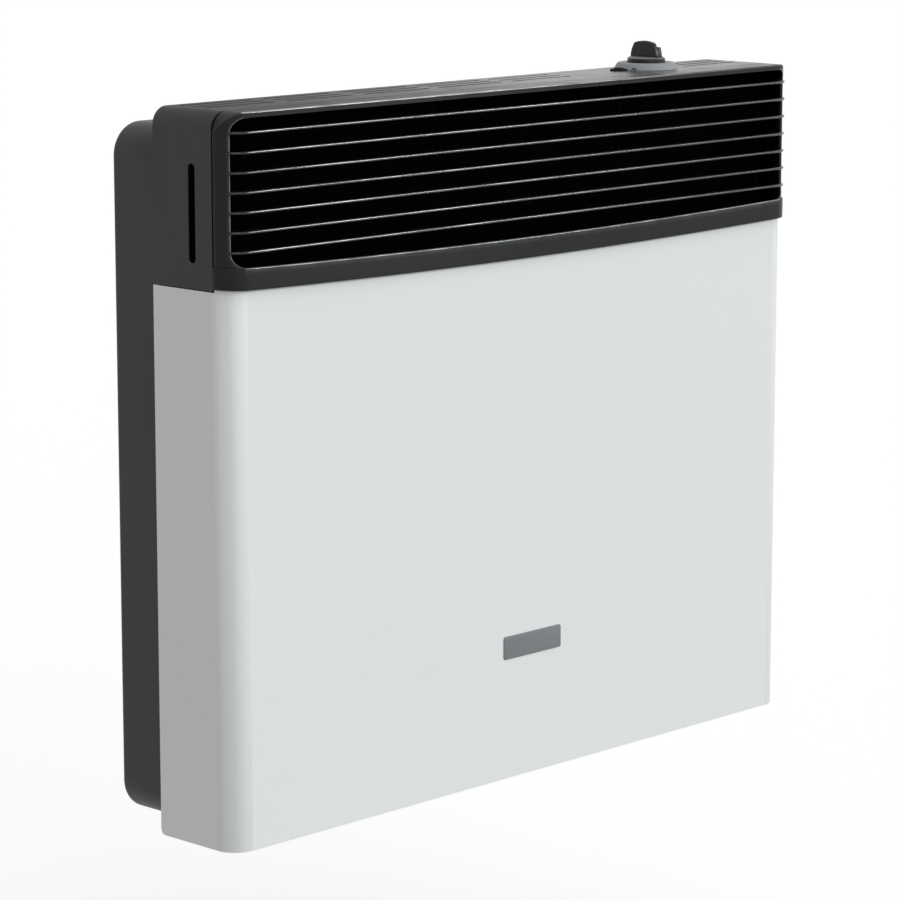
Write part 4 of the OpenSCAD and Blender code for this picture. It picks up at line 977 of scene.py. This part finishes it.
hoops = []
for inset, y in ((0.0, COLLAR_FRONT), (0.0, COLLAR_BACK),
                 (COLLAR_T, COLLAR_BACK), (COLLAR_T, COLLAR_FRONT)):
    line = whole(hoop(COLLAR_HALF - inset, COLLAR_TOP - inset, COLLAR_CORNER - inset,
                      COLLAR_LOW, 0.0, COLLAR_END))
    hoops.append(np.stack([line[:, 0], np.full(len(line), y), line[:, 1]], axis=1))
collar = surface("frame_collar", np.stack(hoops, axis=1), FINISHES["inner_black"],
                 round_v=True, caps=True)
for piece in (surround, band, collar):
    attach(piece, "cabinet")
print("collar of", len(collar.data.polygons), "faces")

# %% [markdown]
# The gas knob is moulded in one piece: a round skirt that hides the ring's well, and a flat grip
# on top of it. The skirt is round, so it is turned: a line from the bore for the rod, through the
# hollow underside, round the outside and over the face. Its shoulder is bevelled and carries a
# painted highlight of lighter grey, which draws the pale line round the knob.

# %% The knob's skirt
KNOB_AXIS, KNOB_R = (222.6, 59.5), 17.5
SKIRT_Z, GRIP_Z = 625.0, 631.0
ROD_R, HOLLOW_R, HOLLOW_H = 3.2, 15.7, 4.2
FACE_R, SHOULDER, FACE_HOLE = 15.4, 1.6, 1.0
GLINT_FULL, SKIRT_GLINT, GLINT_OUTSIDE = 1.2, 0.8, 13.0

skirt_line = soften([
    (ROD_R, SKIRT_Z + HOLLOW_H, 0.0), (HOLLOW_R, SKIRT_Z + HOLLOW_H, 0.5),
    (HOLLOW_R, SKIRT_Z, 0.4), (KNOB_R, SKIRT_Z, 0.5), (KNOB_R, GRIP_Z - SHOULDER, 0.5),
    (FACE_R, GRIP_Z, 0.8), (FACE_HOLE, GRIP_Z, 0.0),
], closed=False, steps=6)
# Painted highlight: a lighter grey over the outer shoulder.
painted_glint_amount = np.interp(skirt_line[:, 1], (GRIP_Z - SHOULDER, GRIP_Z - GLINT_FULL), (0, SKIRT_GLINT))
painted_glint_amount = painted_glint_amount * (skirt_line[:, 0] > GLINT_OUTSIDE)
skirt = lathe("knob_skirt", skirt_line, KNOB_AXIS, FINISHES["knob_plastic"],
              edge=painted_glint_amount[:, None])
print("skirt of", len(skirt.data.polygons), "faces")

# %% [markdown]
# Two pieces are stacks of rounded rectangles: the knob's grip and the badge. One helper draws
# such an outline, with further points along its sides where the shape above has to bend.

# %% Rounded rectangles
def rounded(half_x, half_y, radius, steps=5, sides=0):
    """A rectangle about the origin: at each corner, its centre + radius (cos a, sin a).

    sides is the number of further points along each of its upright sides.
    """
    quarter = np.linspace(0, np.pi / 2, steps)
    parts = []
    for turn, (sx, sy) in enumerate(((1, 1), (-1, 1), (-1, -1), (1, -1))):
        a = quarter + turn * np.pi / 2
        parts.append(np.stack([sx * (half_x - radius) + radius * np.cos(a),
                               sy * (half_y - radius) + radius * np.sin(a)], axis=1))
        if sides and sx * sy < 0:
            up = np.linspace(sy, -sy, sides + 2)[1:-1] * (half_y - radius)
            parts.append(np.stack([np.full(sides, sx * half_x), up], axis=1))
    return np.concatenate(parts)


print("an outline has", len(rounded(1.0, 1.0, 0.2)), "points")

# %% [markdown]
# The grip is flat, with bowed sides and a low dome, and a shorter step beside it tells the fingers
# which way it points. A grip cut from a cylinder would have hard edges. Here it is a stack of
# rounded rectangles that shrink towards the top, with points along their sides for the dome.

# %% The knob's grip
GRIP_H, STEP_H, GRIP_SUNK, GRIP_ASIDE = 14.5, 9.0, 0.5, 2.0
GRIP_HALF_X, GRIP_HALF_Y, GRIP_BOW, DOME_R = 2.5, 15.9, 20.5, 36.4
GRIP_CORNER, GRIP_CORNER_LEAST, GRIP_ROLL, GRIP_CREST = 1.1, 0.25, 1.0, 0.35
SIDE_LEVELS, ROLL_LEVELS, CREST_LEVELS, GRIP_SIDE_POINTS = 14, 6, 5, 11


def grip(height, middle, domed):
    """Rings of a grip: at height h its half length is L sqrt(1 - (h / bow)^2).

    A domed one is lowered by R - sqrt(R^2 - y^2), in full at its top and not at all at its foot.
    """
    levels = [(h, 0.0) for h in np.linspace(-GRIP_SUNK, height - GRIP_ROLL, SIDE_LEVELS)]
    levels += [(height - under, inward) for inward, under in rolled(GRIP_ROLL, ROLL_LEVELS)[1:]]
    levels += [(height, inward) for inward in
               np.linspace(GRIP_ROLL, GRIP_HALF_X - GRIP_CREST, CREST_LEVELS)[1:]]
    rings = []
    for h, inset in levels:
        half_y = GRIP_HALF_Y * math.sqrt(1 - (h / GRIP_BOW) ** 2) - inset
        ring = rounded(GRIP_HALF_X - inset, half_y, max(GRIP_CORNER - inset, GRIP_CORNER_LEAST),
                       sides=GRIP_SIDE_POINTS)
        dome = DOME_R - np.sqrt(DOME_R ** 2 - ring[:, 1] ** 2)
        share = max(h, 0) / height if domed else 0.0
        rings.append(np.column_stack([KNOB_AXIS[0] + middle + ring[:, 0],
                                      KNOB_AXIS[1] + ring[:, 1], GRIP_Z + h - dome * share]))
    return np.array(rings)


blade_grip = surface("knob_grip", grip(GRIP_H, -GRIP_ASIDE, domed=True),
                     FINISHES["knob_plastic"], round_v=True, caps=True)
step_grip = surface("knob_step", grip(STEP_H, GRIP_ASIDE, domed=False),
                    FINISHES["knob_plastic"], round_v=True, caps=True)
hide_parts("knob")
for piece in (skirt, blade_grip, step_grip):
    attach(piece, "knob")
print("knob top at", round(GRIP_Z + GRIP_H, 1), "mm")

# %% [markdown]
# Round the knob lies a low ring of satin grey, wider at the foot, with a well in which the skirt
# can sink when it is pushed, and a neck that goes down through the hood. Like the skirt it is
# turned from one line, closed on itself, so that the neck and the well are in the same piece.

# %% The ring
TOP_Z = 620.0
RING_FOOT, RING_TOP, RING_H = 29.8, 26.6, 5.8
WELL_R, WELL_FLOOR = 18.2, 1.2
RING_BORE, NECK_R, NECK_H = 3.35, 7.0, 6.0

ring_line = soften([
    (RING_BORE, TOP_Z - NECK_H, 0.2), (NECK_R, TOP_Z - NECK_H, 0.2), (NECK_R, TOP_Z, 0.0),
    (RING_FOOT, TOP_Z, 0.3), (RING_TOP, TOP_Z + RING_H, 1.6), (WELL_R, TOP_Z + RING_H, 0.5),
    (WELL_R, TOP_Z + WELL_FLOOR, 0.5), (RING_BORE, TOP_Z + WELL_FLOOR, 0.2),
], steps=7)
ring = lathe("knob_ring", ring_line, KNOB_AXIS, FINISHES["ring_grey"], closed=True, around=96)
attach(ring, "cabinet")
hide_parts("knob_bezel")
print("ring of", len(ring.data.polygons), "faces")

# %% [markdown]
# Beside the ring stands the push igniter: a threaded body under the hood, of which only the black
# rim shows, and a button with a slightly hollow top. The thread is hidden, so the body is turned
# smooth; the rim and the button's edge are what light falls on, so those are rounded.

# %% The igniter
IGNITER_AXIS = (184.0, 59.5)
RIM_R, RIM_H, BODY_R, BODY_END = 8.0, 1.5, 6.5, 48.0
SLEEVE_R, SLEEVE_DEPTH = 5.3, 16.8
TERMINAL_R, TERMINAL_END, CORE_R = 3.5, 54.0, 1.0
BUTTON_R, BUTTON_DEPTH, BUTTON_SHOULDER = 5.0, 11.3, 2.2
CROWN_R, CROWN_H, DISH_H, POLE_R = 2.6, 2.7, 2.45, 0.05

rim_line = soften([
    (SLEEVE_R, TOP_Z - SLEEVE_DEPTH, 0.0), (SLEEVE_R, TOP_Z + RIM_H, 0.4),
    (RIM_R, TOP_Z + RIM_H, 0.6), (RIM_R, TOP_Z, 0.1), (BODY_R, TOP_Z, 0.0),
    (BODY_R, TOP_Z - BODY_END, 0.3), (TERMINAL_R, TOP_Z - BODY_END, 0.0),
    (TERMINAL_R, TOP_Z - TERMINAL_END, 0.3), (CORE_R, TOP_Z - TERMINAL_END, 0.0),
    (CORE_R, TOP_Z - SLEEVE_DEPTH, 0.0),
])
rim = lathe("igniter_rim", rim_line, IGNITER_AXIS, FINISHES["igniter_plastic"], closed=True,
            around=64)
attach(rim, "cabinet")
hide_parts("igniter_body")

button_line = soften([
    (POLE_R, TOP_Z - BUTTON_DEPTH, 0.0), (BUTTON_R, TOP_Z - BUTTON_DEPTH, 0.3),
    (BUTTON_R, TOP_Z + BUTTON_SHOULDER, 0.8), (CROWN_R, TOP_Z + CROWN_H, 0.8),
    (POLE_R, TOP_Z + DISH_H, 0.0),
], closed=False, steps=6)
button = lathe("igniter_cap", button_line, IGNITER_AXIS, FINISHES["igniter_plastic"], around=64)
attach(button, "button")
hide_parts("igniter_button")
print("igniter rim of", len(rim.data.polygons), "faces, button of", len(button.data.polygons))

# %% [markdown]
# The badge is a bare satin plate, glued low on the front. Its edge is rounded over, which is what
# separates it from the white behind it. A box with a bevel would do as well; the rounded
# rectangles of the grip are at hand and give its corners a radius of their own.

# %% The badge
BADGE_X, BADGE_Z = 5.0, 120.5
BADGE_HALF_X, BADGE_HALF_Z, BADGE_T = 37.5, 10.5, 1.0
BADGE_CORNER, BADGE_ROLL = 2.5, 0.4

levels = [(0.0, 0.0)]
levels += [(BADGE_T - under, inward) for inward, under in rolled(BADGE_ROLL, ROLL_LEVELS)]
rings = []
for depth, inset in levels:
    outline = rounded(BADGE_HALF_X - inset, BADGE_HALF_Z - inset, BADGE_CORNER - inset, steps=8)
    rings.append(np.column_stack([BADGE_X + outline[:, 0], np.full(len(outline), -depth),
                                  BADGE_Z + outline[:, 1]]))
badge = surface("badge_face", np.array(rings), FINISHES["badge_metal"], round_v=True, caps=True)
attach(badge, "cabinet")
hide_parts("badge_plate")
print("badge of", len(badge.data.polygons), "faces")
